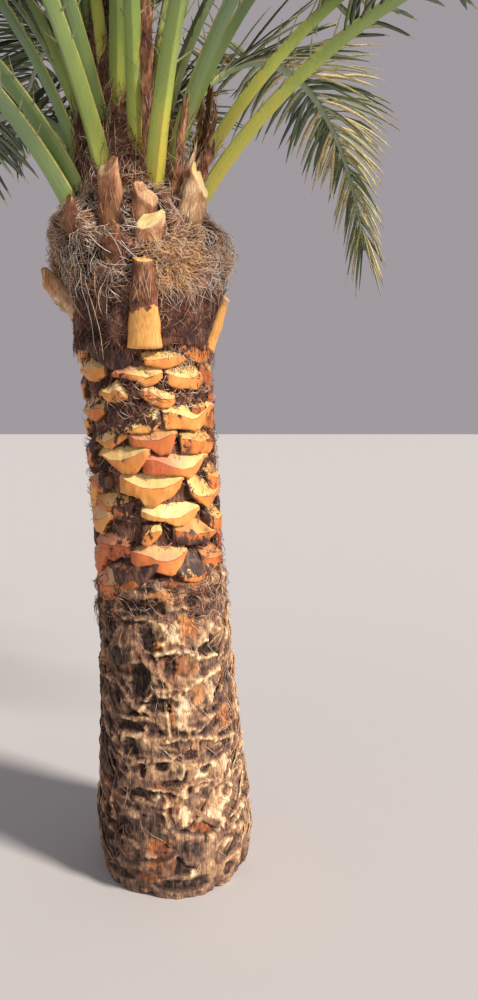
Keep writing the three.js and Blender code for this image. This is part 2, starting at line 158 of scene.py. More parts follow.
def along(pairs, place):
    """A smooth curve through (place, value) pairs."""
    x, y = np.array(pairs, float).T
    slope = np.empty_like(y)
    slope[1:-1] = (y[2:] - y[:-2]) / (x[2:] - x[:-2])
    slope[0], slope[-1] = (y[1] - y[0]) / (x[1] - x[0]), (y[-1] - y[-2]) / (x[-1] - x[-2])
    place = np.asarray(place, float)
    i = np.clip(np.searchsorted(x, place, side="left") - 1, 0, len(x) - 2)
    span = x[i + 1] - x[i]
    t = np.clip((place - x[i]) / span, 0, 1)
    t2, t3 = t * t, t**3
    ends = (2 * t3 - 3 * t2 + 1) * y[i] + (3 * t2 - 2 * t3) * y[i + 1]
    return ends + ((t3 - 2 * t2 + t) * slope[i] + (t3 - t2) * slope[i + 1]) * span


def axis_x(z):
    return -(LEAN * z + LEAN_GROWTH * z * z)


def core_radius(z):
    return along(CORE, z)


def height_of(leaf, stretch):
    return stretch[1] + (leaf - stretch[0]) * stretch[2]


def azimuth_of(leaf):
    return np.radians((leaf - FRONT_LEAF) * LEAF_TURN + FRONT_AZIMUTH)


def round_trunk(azimuth, radius, z):
    """Points at a radius and height, measured from the leaning axis."""
    azimuth, radius, z = np.broadcast_arrays(azimuth, radius, z)
    return np.stack([axis_x(z) + radius * np.cos(azimuth), radius * np.sin(azimuth), z], -1)


def collar_radius(azimuth, z):
    wave = 0.6 * np.sin(3 * azimuth + z / 0.090) + 0.4 * np.sin(7 * azimuth - z / 0.040)
    return along(COLLAR, z) * (1 + COLLAR_ROUGH * wave + COLLAR_BIAS * np.cos(azimuth))


def unit(v):
    return v / np.linalg.norm(v, axis=-1, keepdims=True)


def straight_out(points):
    """Level directions from the leaning axis out through points."""
    return unit((points - round_trunk(0, 0, points[..., 2])) * [1, 1, 0])


def bumps(points, cell, seed):
    """Smooth noise from -1 to 1, with bumps about one cell across. cell is a size or one for each axis."""
    place = np.asarray(points) / np.asarray(cell)
    low = np.floor(place).astype(np.int64)
    t = place - low
    t = t * t * (3 - 2 * t)
    total = 0.0
    for corner in itertools.product((0, 1), repeat=3):
        key = low + np.array(corner)
        a, b, c = np.moveaxis(key, -1, 0)
        mixed = (a * 73856093) ^ (b * 19349663) ^ (c * 83492791) ^ (seed * 2654435)
        mixed = (mixed * 1103515245 + 12345) & 0x7FFFFFFF
        mixed = ((mixed >> 7) * 1103515245 + 12345) & 0x7FFFFFFF
        value = (mixed >> 8) % 65536 / 32767.5 - 1
        total = total + value * np.prod(np.where(np.array(corner) == 1, t, 1 - t), axis=-1)
    return total


class Shells:
    """Closed shells on their way to one piece."""

    def __init__(self):
        self.points, self.faces, self.finishes, self.count = [], [], [], 0
        self.marks = {"tone": [], "wear": [], "rust_and_painted_light": []}

    def loft(self, rings, finish=0, ends=(0, 0), tone=0.5, wear=0.0, rust_and_painted_light=0.0):
        """Shells through rings of points: rings is (items, rings, points in a ring, 3). finish is the
        material number of the sides and ends those of the two ends, as numbers or arrays that fit. tone,
        wear and rust_and_painted_light are the points' marks, which the finishes read. The last is rust,
        with painted shade and painted sunlight in places."""
        rings = np.asarray(rings, float)
        items, count, size, _ = rings.shape
        base = np.arange(items * count * size).reshape(items, count, size)
        low, high = base[:, :-1], base[:, 1:]
        sides = np.stack([low, np.roll(low, -1, 2), np.roll(high, -1, 2), high], -1)
        first, last = base[:, 0, ::-1].copy(), base[:, -1].copy()
        flat = rings.reshape(-1, 3)
        # A shell whose sides face inwards has a volume below zero, and is turned round
        a, b, c, d = np.moveaxis(flat[sides] - rings.mean((1, 2))[:, None, None, None], -2, 0)
        volume = sum(np.einsum("irsk,irsk->i", a, np.cross(v, w)) for v, w in ((b, c), (c, d)))
        wrong = volume < 0
        sides[wrong] = sides[wrong][..., ::-1]
        first[wrong], last[wrong] = first[wrong][:, ::-1], last[wrong][:, ::-1]
        self.points.append(flat)
        self.faces.append(sides.reshape(-1, 4) + self.count)
        self.finishes.append(np.broadcast_to(finish, sides.shape[:3]).reshape(-1))
        for kept, mark in zip(self.marks.values(), (tone, wear, rust_and_painted_light)):
            kept.append(np.broadcast_to(mark, rings.shape[:3]).reshape(-1))
        self.count += len(flat)
        self.faces += [first + self.count - len(flat), last + self.count - len(flat)]
        self.finishes += [np.broadcast_to(ends[0], items), np.broadcast_to(ends[1], items)]

    def piece(self, name, materials, slot, nodes, sharp=()):
        """The shells as one object that rides on the root. sharp gives the materials whose faces stay
        flat."""
        sizes = np.concatenate([np.full(len(f), f.shape[1]) for f in self.faces])
        loops = np.concatenate([f.ravel() for f in self.faces])
        finishes = np.concatenate(self.finishes).astype(np.int32)
        mesh = bpy.data.meshes.new(name)
        points = np.concatenate(self.points)
        mesh.vertices.add(len(points))
        mesh.vertices.foreach_set("co", points.astype(np.float32).ravel())
        mesh.loops.add(len(loops))
        mesh.loops.foreach_set("vertex_index", loops.astype(np.int32))
        mesh.polygons.add(len(sizes))
        mesh.polygons.foreach_set("loop_start", (np.cumsum(sizes) - sizes).astype(np.int32))
        for material in materials:
            mesh.materials.append(material)
        mesh.polygons.foreach_set("material_index", finishes)
        mesh.polygons.foreach_set("use_smooth", ~np.isin(finishes, sharp))
        for label, kept in self.marks.items():
            mark = mesh.attributes.new(label, "FLOAT", "POINT")
            mark.data.foreach_set("value", np.clip(np.concatenate(kept), 0, 1).astype(np.float32))
        mesh.update(calc_edges=True)
        mesh.validate()
        made = bpy.data.objects.new(name, mesh)
        bpy.context.scene.collection.objects.link(made)
        return shown(made, nodes)


def shown(made, nodes):
    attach(made, "root")
    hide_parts(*nodes)
    return made


# Finishes


def linear(code, alpha=1.0):
    """An sRGB hex colour as linear light."""
    parts = [int(code[i : i + 2], 16) / 255 for i in (1, 3, 5)]
    return tuple(c / 12.92 if c <= 0.04045 else ((c + 0.055) / 1.055) ** 2.4 for c in parts) + (alpha,)


def add_node(tree, kind, inputs, out=0, stops=(), **settings):
    """A node with its settings and colour stops, its inputs set or linked. Gives one of its outputs."""
    made = tree.nodes.new(kind)
    for name, value in settings.items():
        setattr(made, name, value)
    for name, value in inputs.items():
        if isinstance(value, bpy.types.NodeSocket):
            tree.links.new(value, made.inputs[name])
        else:
            made.inputs[name].default_value = value
    for number, (place, code) in enumerate(stops):
        elements = made.color_ramp.elements
        element = elements[number] if number < 2 else elements.new(place)
        element.position, element.color = place, linear(code)
    return made.outputs[out]


def new_material(name, roughness, shader=None):
    """A material, its tree and its shader node. shader gives values for the shader's own sockets."""
    material = bpy.data.materials.new(name)
    material.use_nodes = True
    tree = material.node_tree
    surface = tree.nodes["Principled BSDF"]
    for label, value in {"Roughness": roughness, **(shader or {})}.items():
        surface.inputs[label].default_value = value
    return material, tree, surface


def finished(tree, surface, colour, height=None, depth=0.0):
    """Gives the shader its colour, and a relief of the height at a depth in metres."""
    tree.links.new(colour, surface.inputs["Base Color"])
    if depth:
        bump = add_node(tree, "ShaderNodeBump", {"Height": height, "Distance": depth})
        tree.links.new(bump, surface.inputs["Normal"])


def grain(tree, across, lengthways, detail=4.0, distortion=0.0, offset=0.0):
    """Noise drawn out upwards, in metres across and lengthways, as wood fibre is."""
    scale = (1 / across, 1 / across, 1 / lengthways)
    place = add_node(tree, "ShaderNodeTexCoord", {}, "Object")
    place = add_node(tree, "ShaderNodeMapping", {"Vector": place, "Scale": scale, "Location": (offset,) * 3})
    inputs = {"Vector": place, "Scale": 1.0, "Detail": detail, "Distortion": distortion}
    return add_node(tree, "ShaderNodeTexNoise", inputs)


def marked(tree, mark, moved):
    """One of the piece's own marks, made uneven by a noise that runs to both sides of zero."""
    own = add_node(tree, "ShaderNodeAttribute", {}, "Fac", attribute_name=mark)
    return add_node(tree, "ShaderNodeMath", {0: own, 1: moved}, operation="ADD", use_clamp=True)


def laid_over(tree, colour, second, height, limits, most=1.0):
    """A second colour over the first where the height passes through the limits, at most by a share."""
    inputs = {"Value": height, "From Min": limits[0], "From Max": limits[1], "To Max": most}
    share = add_node(tree, "ShaderNodeMapRange", inputs)
    return add_node(tree, "ShaderNodeMix", {0: share, 6: colour, 7: second}, 2, data_type="RGBA")


def wood_like(
    name, stops, roughness, across, lengthways, specks=None, shift=0.35, depth=0.0008, rust_and_painted_light_ramp=None, worn=None,
    edge=(0.42, 0.58),
):
    """Fibrous plant tissue: the tone of the piece, moved by a grain along its fibres, read off a ramp.
    specks is (hex colour, share) for dark flecks. rust_and_painted_light_ramp and worn are ramps for where
    those marks are set, and edge the wear over which the worn ramp sets in."""
    material, tree, surface = new_material(name, roughness)
    fine = grain(tree, across, lengthways, 5.0, 0.4)
    broad = grain(tree, across * 7, lengthways * 2.5, 3.0, 0.6, 3.1)
    both = add_node(tree, "ShaderNodeMix", {0: 0.4, 2: fine, 3: broad})
    limits = {"From Min": 0.25, "From Max": 0.75, "To Min": -shift, "To Max": shift}
    moved = add_node(tree, "ShaderNodeMapRange", {"Value": both, **limits})
    place = marked(tree, "tone", moved)
    colour = add_node(tree, "ShaderNodeValToRGB", {"Fac": place}, stops=stops)
    if rust_and_painted_light_ramp:
        second = add_node(tree, "ShaderNodeValToRGB", {"Fac": place}, stops=rust_and_painted_light_ramp)
        colour = laid_over(tree, colour, second, marked(tree, "rust_and_painted_light", moved), (0.3, 0.7))
    if specks:
        flecks = grain(tree, 0.006, 0.010, 6.0, 0.8, 7.7)
        colour = laid_over(tree, colour, linear(specks[0]), flecks, (1 - specks[1], 1.06 - specks[1]))
    if worn:
        ragged = grain(tree, 0.011, 0.018, 4.0, 0.9, 5.7)
        limits = {"From Min": 0.3, "From Max": 0.7, "To Min": -0.24, "To Max": 0.24}
        ragged = add_node(tree, "ShaderNodeMapRange", {"Value": ragged, **limits})
        second = add_node(tree, "ShaderNodeValToRGB", {"Fac": fine}, stops=worn)
        colour = laid_over(tree, colour, second, marked(tree, "wear", ragged), edge)
    finished(tree, surface, colour, fine, depth)
    return material


# The torn skin left round a cut, dark brown and fibrous
TORN = [(0.25, "#1c0f0b"), (0.5, "#482a20"), (0.75, "#946a50")]
# Fresh pith: where a knife cut across a leaf base, moist and pale, with dark ends of its strands
CUT_PITH = wood_like(
    "cut_pith", [(0.0, "#7c4222"), (0.3, "#e8ae64"), (0.6, "#f3ce80"), (1.0, "#fdeaae")], 0.6, 0.012, 0.020,
    specks=("#7a4420", 0.30), shift=0.24, depth=0.0006, worn=TORN,
    # The rusty ramp: pink dried flesh, and the painted pink of the shaded side
    rust_and_painted_light_ramp=[(0.0, "#8a4630"), (0.4, "#c67e5c"), (0.75, "#e2a07a"), (1.0, "#f0c090")],
)
# Shaved rind: the outer side of a fresh base, planed to yellow or orange flesh with long strokes
SHAVED = wood_like(
    "shaved_rind", [(0.0, "#6e3216"), (0.35, "#da823a"), (0.7, "#ea9c4e"), (1.0, "#f4c268")], 0.55, 0.012,
    0.040, specks=("#5a2a16", 0.32), shift=0.28, depth=0.0008, worn=TORN,
    # The rusty ramp: sienna dried flesh, and the painted sienna of the shaded side
    rust_and_painted_light_ramp=[(0.0, "#5e1e0e"), (0.35, "#a4452a"), (0.7, "#d87240"), (1.0, "#ee9a5e")],
)
# Torn rind: the hidden back and foot of a base
TORN_RIND = wood_like("torn_rind", TORN, 0.85, 0.003, 0.030, shift=0.45, depth=0.0015)
# Weathered rind: years of sun on old bases, from grey-brown through tan to bleached cream, rusty where flesh
# still shows and black-brown where the pith has rotted out
WEATHERED = wood_like(
    "weathered_rind",
    [
        (0.0, "#17100d"), (0.2, "#3c2d25"), (0.42, "#70574a"), (0.62, "#a07c62"), (0.8, "#cca67a"),
        (1.0, "#f6e2ba"),
    ],
    0.88, 0.0045, 0.024, specks=("#1e1410", 0.36), shift=0.30, depth=0.0035, edge=(0.25, 0.8),
    rust_and_painted_light_ramp=[(0.0, "#1e110b"), (0.35, "#643622"), (0.65, "#b06c40"), (1.0, "#f2ae68")],
    worn=[(0.3, "#120b09"), (0.5, "#36251e"), (0.7, "#6e5648")],
)
# Fibre mat: sheath fibre packed between the bases, with lighter strands in it
FIBRE_MAT = wood_like(
    "fibre_mat", [(0.0, "#20130f"), (0.4, "#54342a"), (0.75, "#926854"), (1.0, "#c49e86")], 0.95, 0.0045,
    0.018, shift=0.5, depth=0.003,
)
# Dry petiole: a cut stub's brown rind, streaked along its length, shaved to fresh flesh where it is worn
DRY_PETIOLE = wood_like(
    "dry_petiole",
    [(0.0, "#3a2118"), (0.3, "#7a4a34"), (0.6, "#b27e58"), (0.85, "#dab48a"), (1.0, "#f1dcb2")],
    0.75, 0.0035, 0.050, specks=("#3a2417", 0.30), shift=0.35, depth=0.0012,
    worn=[(0.2, "#c8743a"), (0.45, "#f0ae5c"), (0.8, "#fbd488")],
)


def plain(name, code, roughness=0.8, shader=None):
    """A plain base colour, a little uneven."""
    material, tree, surface = new_material(name, roughness, shader)
    uneven = grain(tree, 0.012, 0.012, 3.0)
    red_green_blue = linear(code)[:3]
    darker = tuple(c * 0.72 for c in red_green_blue) + (1.0,)
    lighter = tuple(min(1.0, c * 1.22) for c in red_green_blue) + (1.0,)
    finished(tree, surface, laid_over(tree, darker, lighter, uneven, (0.3, 0.7)))
    return material


# Sheath fibre, dry and matt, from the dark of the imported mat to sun-bleached ends
FIBRES = [
    plain("fibre_black_brown", "#38241f", 0.9),
    plain("fibre_brown", "#7c5a4f", 0.9),
    plain("fibre_tan", "#c4a18c", 0.88),
    plain("fibre_straw", "#ebcb9e", 0.85),
    plain("fibre_bleached", "#fbf1e4", 0.8),
    plain("fibre_rust", "#bb7a5e", 0.85),
    plain("fibre_golden", "#f4bf86", 0.85),
]

# Leaflets: waxy, grey-green above, with dry tips
LEAVES = [
    plain("leaflet_deep", "#414f36", 0.45, {"Specular IOR Level": 0.4}),
    plain("leaflet_grey_green", "#627050", 0.48, {"Specular IOR Level": 0.4}),
    plain("leaflet_green", "#6e8046", 0.45, {"Specular IOR Level": 0.4}),
    plain("leaflet_pale", "#a4aa80", 0.5, {"Specular IOR Level": 0.35}),
    plain("leaflet_straw", "#cdbf8c", 0.65),
    plain("leaflet_dry_tip", "#b79d68", 0.7),
]


def living_petiole():
    """Petiole skin: smooth and waxy, yellow where it leaves the trunk, then olive, then grey-green."""
    wax = {"Coat Weight": 0.12, "Coat Roughness": 0.35}
    material, tree, surface = new_material("petiole_skin", 0.38, wax)
    streaks = grain(tree, 0.006, 0.35, 4.0, 0.3)
    clouds = grain(tree, 0.05, 0.16, 3.0, 0.5, 5.3)
    both = add_node(tree, "ShaderNodeMix", {0: 0.55, 2: streaks, 3: clouds})
    limits = {"From Min": 0.25, "From Max": 0.75, "To Min": -0.10, "To Max": 0.10}
    moved = add_node(tree, "ShaderNodeMapRange", {"Value": both, **limits})
    stops = [
        (0.0, "#dcd056"), (0.08, "#c2cf5c"), (0.22, "#9cb45c"), (0.42, "#8aa468"), (0.65, "#7c9670"),
        (1.0, "#869678"),
    ]
    colour = add_node(tree, "ShaderNodeValToRGB", {"Fac": marked(tree, "tone", moved)}, stops=stops)
    scars = grain(tree, 0.008, 0.014, 6.0, 1.0, 9.1)
    colour = laid_over(tree, colour, linear("#5d4a2c"), scars, (0.7, 0.76), 0.7)
    finished(tree, surface, colour, streaks, 0.0006)
    return material


def petiole_margin():
    """Petiole margin: the thin edge, pale yellow-green."""
    material, tree, surface = new_material("petiole_margin", 0.42)
    streaks = grain(tree, 0.004, 0.12, 3.0, 0.3)
    stops = [(0.3, "#a9ab4e"), (0.7, "#d7d27c")]
    finished(tree, surface, add_node(tree, "ShaderNodeValToRGB", {"Fac": streaks}, stops=stops))
    return material


PETIOLE = living_petiole()
MARGIN = petiole_margin()


# The trunk

# Fresh bases in front, as read off the photograph. Pixels of the top edge, the edge between the pith
# and the shaved side, and the lower edge.
CUT_POINTS = {
    72: (
        [(180, 556), (190, 551), (202, 554), (210, 562)],
        [(178, 572), (185, 577), (195, 577), (205, 571), (210, 566)],
        [(176, 574), (184, 580), (195, 582), (205, 577), (210, 568)],
    ),
    77: (
        [(202, 552), (212, 547), (220, 544)],
        [(202, 555), (208, 558), (215, 558), (220, 556)],
        [(205, 566), (211, 572), (217, 564), (220, 558)],
    ),
    80: (
        [(136, 551), (145, 549), (158, 547), (170, 548), (186, 549)],
        [(137, 553), (150, 557), (158, 561), (167, 562), (175, 560), (183, 555), (187, 551)],
        [(130, 562), (135, 567), (145, 572), (160, 573), (172, 577), (178, 574), (183, 562), (187, 553)],
    ),
    83: (
        [(96, 535), (110, 536), (125, 541), (131, 545)],
        [(96, 540), (108, 545), (122, 546), (131, 548)],
        [(97, 542), (103, 552), (108, 559), (114, 561), (120, 557), (128, 558), (134, 552)],
    ),
    85: (
        [(178, 527), (185, 524), (194, 522), (205, 523), (213, 527)],
        [(178, 531), (190, 534), (205, 533), (213, 531)],
        [(173, 540), (182, 544), (195, 545), (205, 542), (213, 533)],
    ),
    88: (
        [(141, 527), (150, 525), (162, 527)],
        [(141, 534), (147, 535), (158, 531), (162, 531)],
        [(141, 543), (148, 546), (156, 540), (162, 533)],
    ),
    93: (
        [(144, 511), (150, 508), (165, 507), (180, 506), (196, 505)],
        [(144, 512), (155, 517), (167, 519), (180, 518), (188, 512), (196, 507)],
        [(141, 516), (150, 520), (165, 521), (175, 526), (184, 526), (191, 519), (197, 510)],
    ),
    96: (
        [(95, 495), (110, 496), (128, 498), (133, 500)],
        [(96, 497), (101, 502), (107, 507), (118, 508), (126, 505), (132, 502)],
        [(95, 498), (100, 504), (108, 512), (116, 519), (124, 521), (129, 515), (133, 506)],
    ),
    98: (
        [(190, 480), (200, 478), (208, 474), (214, 470), (218, 471)],
        [(190, 491), (198, 497), (210, 496), (218, 484)],
        [(190, 493), (196, 500), (206, 508), (211, 500), (218, 486)],
    ),
    101: (
        [(121, 477), (140, 477), (160, 476), (182, 476)],
        [(124, 479), (133, 484), (142, 488), (153, 489), (165, 488), (174, 484), (182, 478)],
        [
            (121, 493), (131, 496), (140, 498), (144, 506), (155, 508),
            (161, 503), (172, 497), (180, 488), (183, 479),
        ],
    ),
    104: (
        [(91, 478), (98, 476), (107, 475)],
        [(92, 480), (96, 481), (100, 479), (107, 477)],
        [(92, 481), (96, 487), (103, 493), (107, 488)],
    ),
    106: (
        [(153, 458), (160, 459), (176, 457), (204, 453)],
        [(155, 460), (163, 463), (172, 467), (183, 470), (193, 467), (203, 455)],
        [(143, 474), (160, 476), (182, 475), (190, 479), (197, 470), (203, 457)],
    ),
    109: (
        [(102, 450), (128, 450), (147, 449), (151, 452)],
        [(104, 455), (111, 460), (122, 461), (135, 456), (147, 450)],
        [(102, 452), (112, 463), (122, 473), (136, 474), (142, 466), (150, 455)],
    ),
    111: (
        [(192, 435), (203, 430), (212, 434)],
        [(190, 439), (200, 442), (208, 440), (212, 438)],
        [(181, 453), (195, 454), (208, 453), (213, 443)],
    ),
    114: (
        [(129, 434), (140, 433), (160, 431), (176, 430)],
        [(130, 436), (137, 440), (150, 441), (160, 440), (172, 434)],
        [(128, 443), (135, 447), (145, 447), (152, 450), (160, 455), (170, 455), (173, 447), (176, 437)],
    ),
    117: (
        [(97, 431), (108, 428), (120, 430), (129, 434)],
        [(98, 440), (105, 443), (112, 439), (124, 435), (129, 435)],
        [(98, 441), (105, 447), (112, 448), (118, 444), (124, 439), (129, 436)],
    ),
    119: (
        [(172, 411), (183, 408), (190, 406), (200, 404), (209, 402)],
        [(171, 413), (182, 416), (192, 420), (198, 417), (208, 405)],
        [(163, 428), (168, 430), (178, 429), (190, 429), (197, 431), (203, 424), (209, 407)],
    ),
    122: (
        [(108, 408), (125, 403), (145, 403), (160, 408)],
        [(110, 424), (131, 431), (141, 427), (150, 421), (160, 419)],
        [(112, 428), (125, 432), (140, 433), (155, 431), (160, 424)],
    ),
    125: (
        [(84, 403), (92, 399), (103, 404)],
        [(85, 410), (90, 411), (95, 408), (103, 409)],
        [(86, 412), (92, 419), (97, 421), (103, 414)],
    ),
    127: (
        [(141, 389), (150, 389), (160, 394), (174, 396)],
        [(142, 391), (152, 393), (162, 399), (174, 399)],
        [(141, 396), (150, 403), (160, 407), (170, 407), (175, 402)],
    ),
    130: (
        [(102, 390), (108, 389), (113, 387), (117, 383), (121, 388), (127, 398)],
        [(103, 392), (110, 394), (116, 390), (121, 392), (127, 399)],
        [(103, 395), (107, 401), (115, 402), (123, 401), (127, 399)],
    ),
    132: (
        [(171, 369), (180, 368), (195, 367), (206, 367)],
        [(170, 374), (180, 378), (192, 379), (203, 372)],
        [(166, 383), (172, 386), (180, 389), (190, 388), (197, 390), (202, 382), (206, 371)],
    ),
    135: (
        [(112, 372), (125, 370), (140, 369), (160, 369)],
        [(113, 374), (125, 374), (138, 376), (148, 378), (162, 373)],
        [(112, 376), (125, 378), (138, 381), (142, 385), (148, 386), (156, 383), (163, 377)],
    ),
    138: (
        [(81, 364), (92, 362), (103, 367)],
        [(83, 370), (88, 373), (94, 366), (103, 369)],
        [(83, 372), (88, 380), (96, 381), (102, 376)],
    ),
    140: (
        [(146, 356), (165, 354), (184, 354)],
        [(144, 360), (155, 360), (168, 358), (184, 357)],
        [(141, 364), (150, 366), (165, 368), (176, 366), (184, 360)],
    ),
}
# How far each of those edges stands off the core
CUT_STANDS = (0.002, 0.018, 0.014)
# Their looks: tone, share torn off, the side it is torn from (degrees, 0 to the right, 90 up), rust, in part
# painted shade, and how much more rust is painted on the left than on the right, as painted shade
CUT_LOOKS = {
    109: (0.62, 0, 0, 0.30, 0.1), 106: (0.72, 0.05, 225, 0.45, 0.9), 101: (0.72, 0, 0, 0.12, 0.45),
    104: (0.5, 0.45, 0, 0.3, 0), 98: (0.8, 0.05, 90, 0.12, 0), 93: (0.85, 0.05, 180, 0.05, 0.3),
    96: (0.45, 0.42, 0, 0.3, 0), 88: (0.6, 0.55, 120, 0.3, 0), 85: (0.5, 0.5, 250, 0.3, 0.1),
    83: (0.5, 0.3, -20, 0.55, 0), 80: (0.7, 0.04, 0, 0.55, 0.2), 77: (0.7, 0.1, 90, 0.3, 0),
    75: (0.3, 0.85, 90, 0.4, 0), 72: (0.7, 0.45, 110, 0.25, 0), 114: (0.55, 0.18, 200, 0.62, 0.1),
    111: (0.75, 0, 0, 0.08, 0), 117: (0.6, 0.55, 100, 0.2, 0), 119: (0.9, 0, 0, 0.05, -0.1),
    122: (0.75, 0.72, 130, 0.1, 0), 125: (0.6, 0.45, 120, 0.2, 0), 127: (0.7, 0.1, 45, 0.28, 0.5),
    130: (0.65, 0.35, 160, 0.12, 0), 132: (0.95, 0, 0, 0.02, 0.1), 135: (0.7, 0.3, 180, 0.4, 0.8),
    138: (0.65, 0.35, 130, 0.12, 0), 140: (0.7, 0.05, 0, 0.18, 0.1), 143: (0.4, 0.9, 240, 0.3, 0),
    145: (0.8, 0.35, 150, 0.1, 0),
}
# Fresh bases run on to the leaf before this one, inside the collar
CUT_TOP = 147
# Points across a fresh base. Down its face: shares of the pith from the back to the lip, shares of the
# shaved side from the lip down, and how far each of those stands out as a share of the lip's stand.
CUT_SECTIONS = 41
CUT_FACE = np.array([0, 0.12, 0.3, 0.5, 0.72, 0.94, 1.0])
SHAVED_FACE = np.array([0.03, 0.10, 0.30, 0.5, 0.66, 0.8, 0.9, 0.96, 1.0])
SHAVED_OUT = np.array([1.0, 1.0, 0.99, 0.97, 0.94, 0.9, 0.84, 0.62, -0.5])
BACK_FACE = np.array([0.85, 0.5, 0.15])
SUNK_BACK = -0.020

# Forms of the weathered stretch in front, as read off the photograph, with places in pixels.
# Patches of flesh or rind: place, half width and height in pixels, tilt, how far raised, tone, rust
PATCH_POINTS = [
    ((160, 598), 19, 7, 0, 8, 0.92, 0.75), ((171, 631), 7, 10, 0, 5, 0.96, 0),
    ((190, 627), 9, 13, 0, 5, 0.7, 0.95), ((207, 628), 8, 12, 0, 2, 0.75, 0.2),
    ((126, 630), 9, 9, 0, 4, 0.6, 0.2), ((190, 667), 9, 9, 0, 3, 0.66, 0.55),
    ((117, 655), 10, 8, 0, 1, 0.3, 0), ((152, 678), 5, 12, -15, 3, 0.6, 0.3),
    ((198, 692), 9, 9, 20, 4, 0.72, 0.6), ((211, 688), 5, 12, 10, 4, 0.92, 0.05),
    ((183, 716), 9, 16, 0, 5, 0.97, 0.05), ((172, 717), 3, 14, 0, 2, 0.7, 0.6),
    ((114, 703), 6, 16, -15, 3, 0.42, 0), ((226, 714), 6, 10, 0, 2, 0.6, 0.6),
    ((195, 748), 24, 7, 0, 4, 0.55, 0.35), ((150, 745), 7, 7, 0, 9, 0.62, 0.35),
    ((132, 750), 9, 6, 0, 0, 0.25, 0), ((177, 769), 7, 8, 15, 6, 0.93, 0),
    ((134, 768), 6, 6, 0, 4, 0.5, 0.3), ((218, 768), 14, 9, 0, 2, 0.8, 0.1),
    ((191, 806), 13, 20, 10, 6, 0.7, 0.25), ((187, 814), 7, 10, 0, 2, 1.1, 0),
    ((217, 806), 10, 18, 0, 5, 0.85, 0.1), ((205, 828), 14, 6, 0, 0, 0.5, 0.7),
    ((148, 826), 22, 20, -20, 6, 0.46, 0), ((131, 812), 9, 6, 10, 4, 0.72, 0),
    ((160, 846), 10, 8, 0, 4, 0.62, 0.95), ((190, 848), 15, 8, 0, 3, 0.32, 0),
    ((128, 852), 16, 12, 20, 2, 0.4, 0.25), ((196, 873), 5, 3, 0, 2, 0.95, 0),
    ((214, 860), 12, 8, 0, 2, 0.6, 0.2), ((103, 632), 6, 10, -20, 2, 0.5, 0),
    ((163, 722), 5, 8, 0, 2, 0.7, 0.1), ((236, 705), 5, 12, 0, 2, 0.8, 0.1),
]
# Rims and margins: points, width and height in mm, tone, rust
RIDGE_POINTS = [
    ([(155, 657), (165, 654), (175, 652), (187, 652), (200, 656)], 13, 11, 0.95, 0),
    ([(156, 657), (157, 668), (163, 679)], 10, 8, 0.72, 0.1),
    ([(103, 660), (105, 649), (113, 643), (123, 645), (131, 653), (136, 663)], 12, 9, 0.5, 0),
    ([(122, 666), (133, 662), (147, 663), (153, 668)], 10, 8, 0.55, 0),
    ([(148, 665), (154, 678), (158, 690)], 16, 9, 0.66, 0.25),
    ([(156, 660), (160, 675), (168, 686), (180, 693)], 9, 7, 0.7, 0.1),
    ([(158, 697), (173, 697), (185, 690), (196, 682), (206, 676), (217, 668)], 11, 11, 0.88, 0),
    ([(100, 655), (108, 668), (118, 681), (127, 695), (136, 710)], 9, 10, 0.55, 0),
    ([(153, 692), (146, 700), (141, 712), (134, 722)], 9, 9, 0.72, 0.1),
    ([(183, 692), (190, 690), (199, 684), (196, 696)], 6, 5, 0.7, 0.3),
    ([(186, 693), (190, 702), (196, 710), (206, 706), (213, 697)], 7, 6, 0.8, 0.1),
    ([(165, 705), (168, 718), (170, 735)], 9, 7, 0.85, 0.3),
    ([(227, 650), (231, 675), (233, 700), (230, 720)], 11, 9, 0.75, 0.1),
    ([(220, 650), (222, 670), (219, 690)], 10, 6, 0.7, 0.2),
    ([(195, 735), (208, 722), (215, 712), (217, 704)], 9, 8, 0.75, 0.1),
    ([(163, 743), (180, 738), (200, 736), (222, 738), (232, 733)], 11, 10, 0.78, 0.1),
    ([(225, 742), (221, 750), (214, 757), (200, 760), (185, 760)], 8, 5, 0.6, 0.1),
    ([(115, 735), (118, 747), (125, 756), (135, 759)], 8, 7, 0.62, 0),
    ([(118, 733), (128, 736), (138, 735), (147, 740)], 9, 8, 0.7, 0),
    ([(128, 764), (145, 761), (163, 761), (178, 756)], 11, 12, 0.72, 0),
    ([(181, 757), (184, 768), (182, 780)], 10, 8, 0.7, 0.1),
    ([(147, 790), (160, 791), (172, 793), (187, 797)], 8, 9, 0.85, 0),
    ([(152, 798), (163, 797), (170, 804)], 10, 8, 0.85, 0),
    ([(112, 798), (114, 815), (123, 832), (138, 847), (155, 857)], 11, 9, 0.5, 0),
    ([(165, 806), (166, 820), (172, 830), (181, 838)], 8, 7, 0.62, 0.1),
    ([(172, 800), (174, 815), (180, 828), (195, 831)], 8, 6, 0.6, 0.2),
    ([(242, 728), (239, 750), (241, 775), (244, 800)], 12, 9, 0.8, 0),
    ([(231, 735), (230, 760), (226, 785)], 10, 7, 0.8, 0),
    ([(242, 805), (236, 820), (228, 835), (222, 848)], 10, 8, 0.85, 0),
    ([(246, 820), (238, 840), (236, 862)], 11, 9, 0.7, 0.1),
    ([(186, 786), (200, 782), (212, 780)], 9, 8, 0.75, 0.1),
    ([(216, 785), (222, 781), (230, 784)], 9, 7, 0.85, 0),
    ([(103, 690), (110, 705), (117, 717)], 10, 6, 0.55, 0),
    ([(163, 627), (163, 640), (166, 650)], 8, 5, 0.8, 0.1),
    ([(117, 620), (128, 619), (140, 620)], 10, 8, 0.55, 0.2),
    ([(219, 615), (224, 630), (223, 650)], 10, 7, 0.85, 0),
    ([(180, 643), (190, 648), (203, 642)], 8, 5, 0.6, 0.3),
    ([(112, 862), (130, 866), (150, 868), (172, 874), (190, 877)], 9, 6, 0.4, 0.2),
]
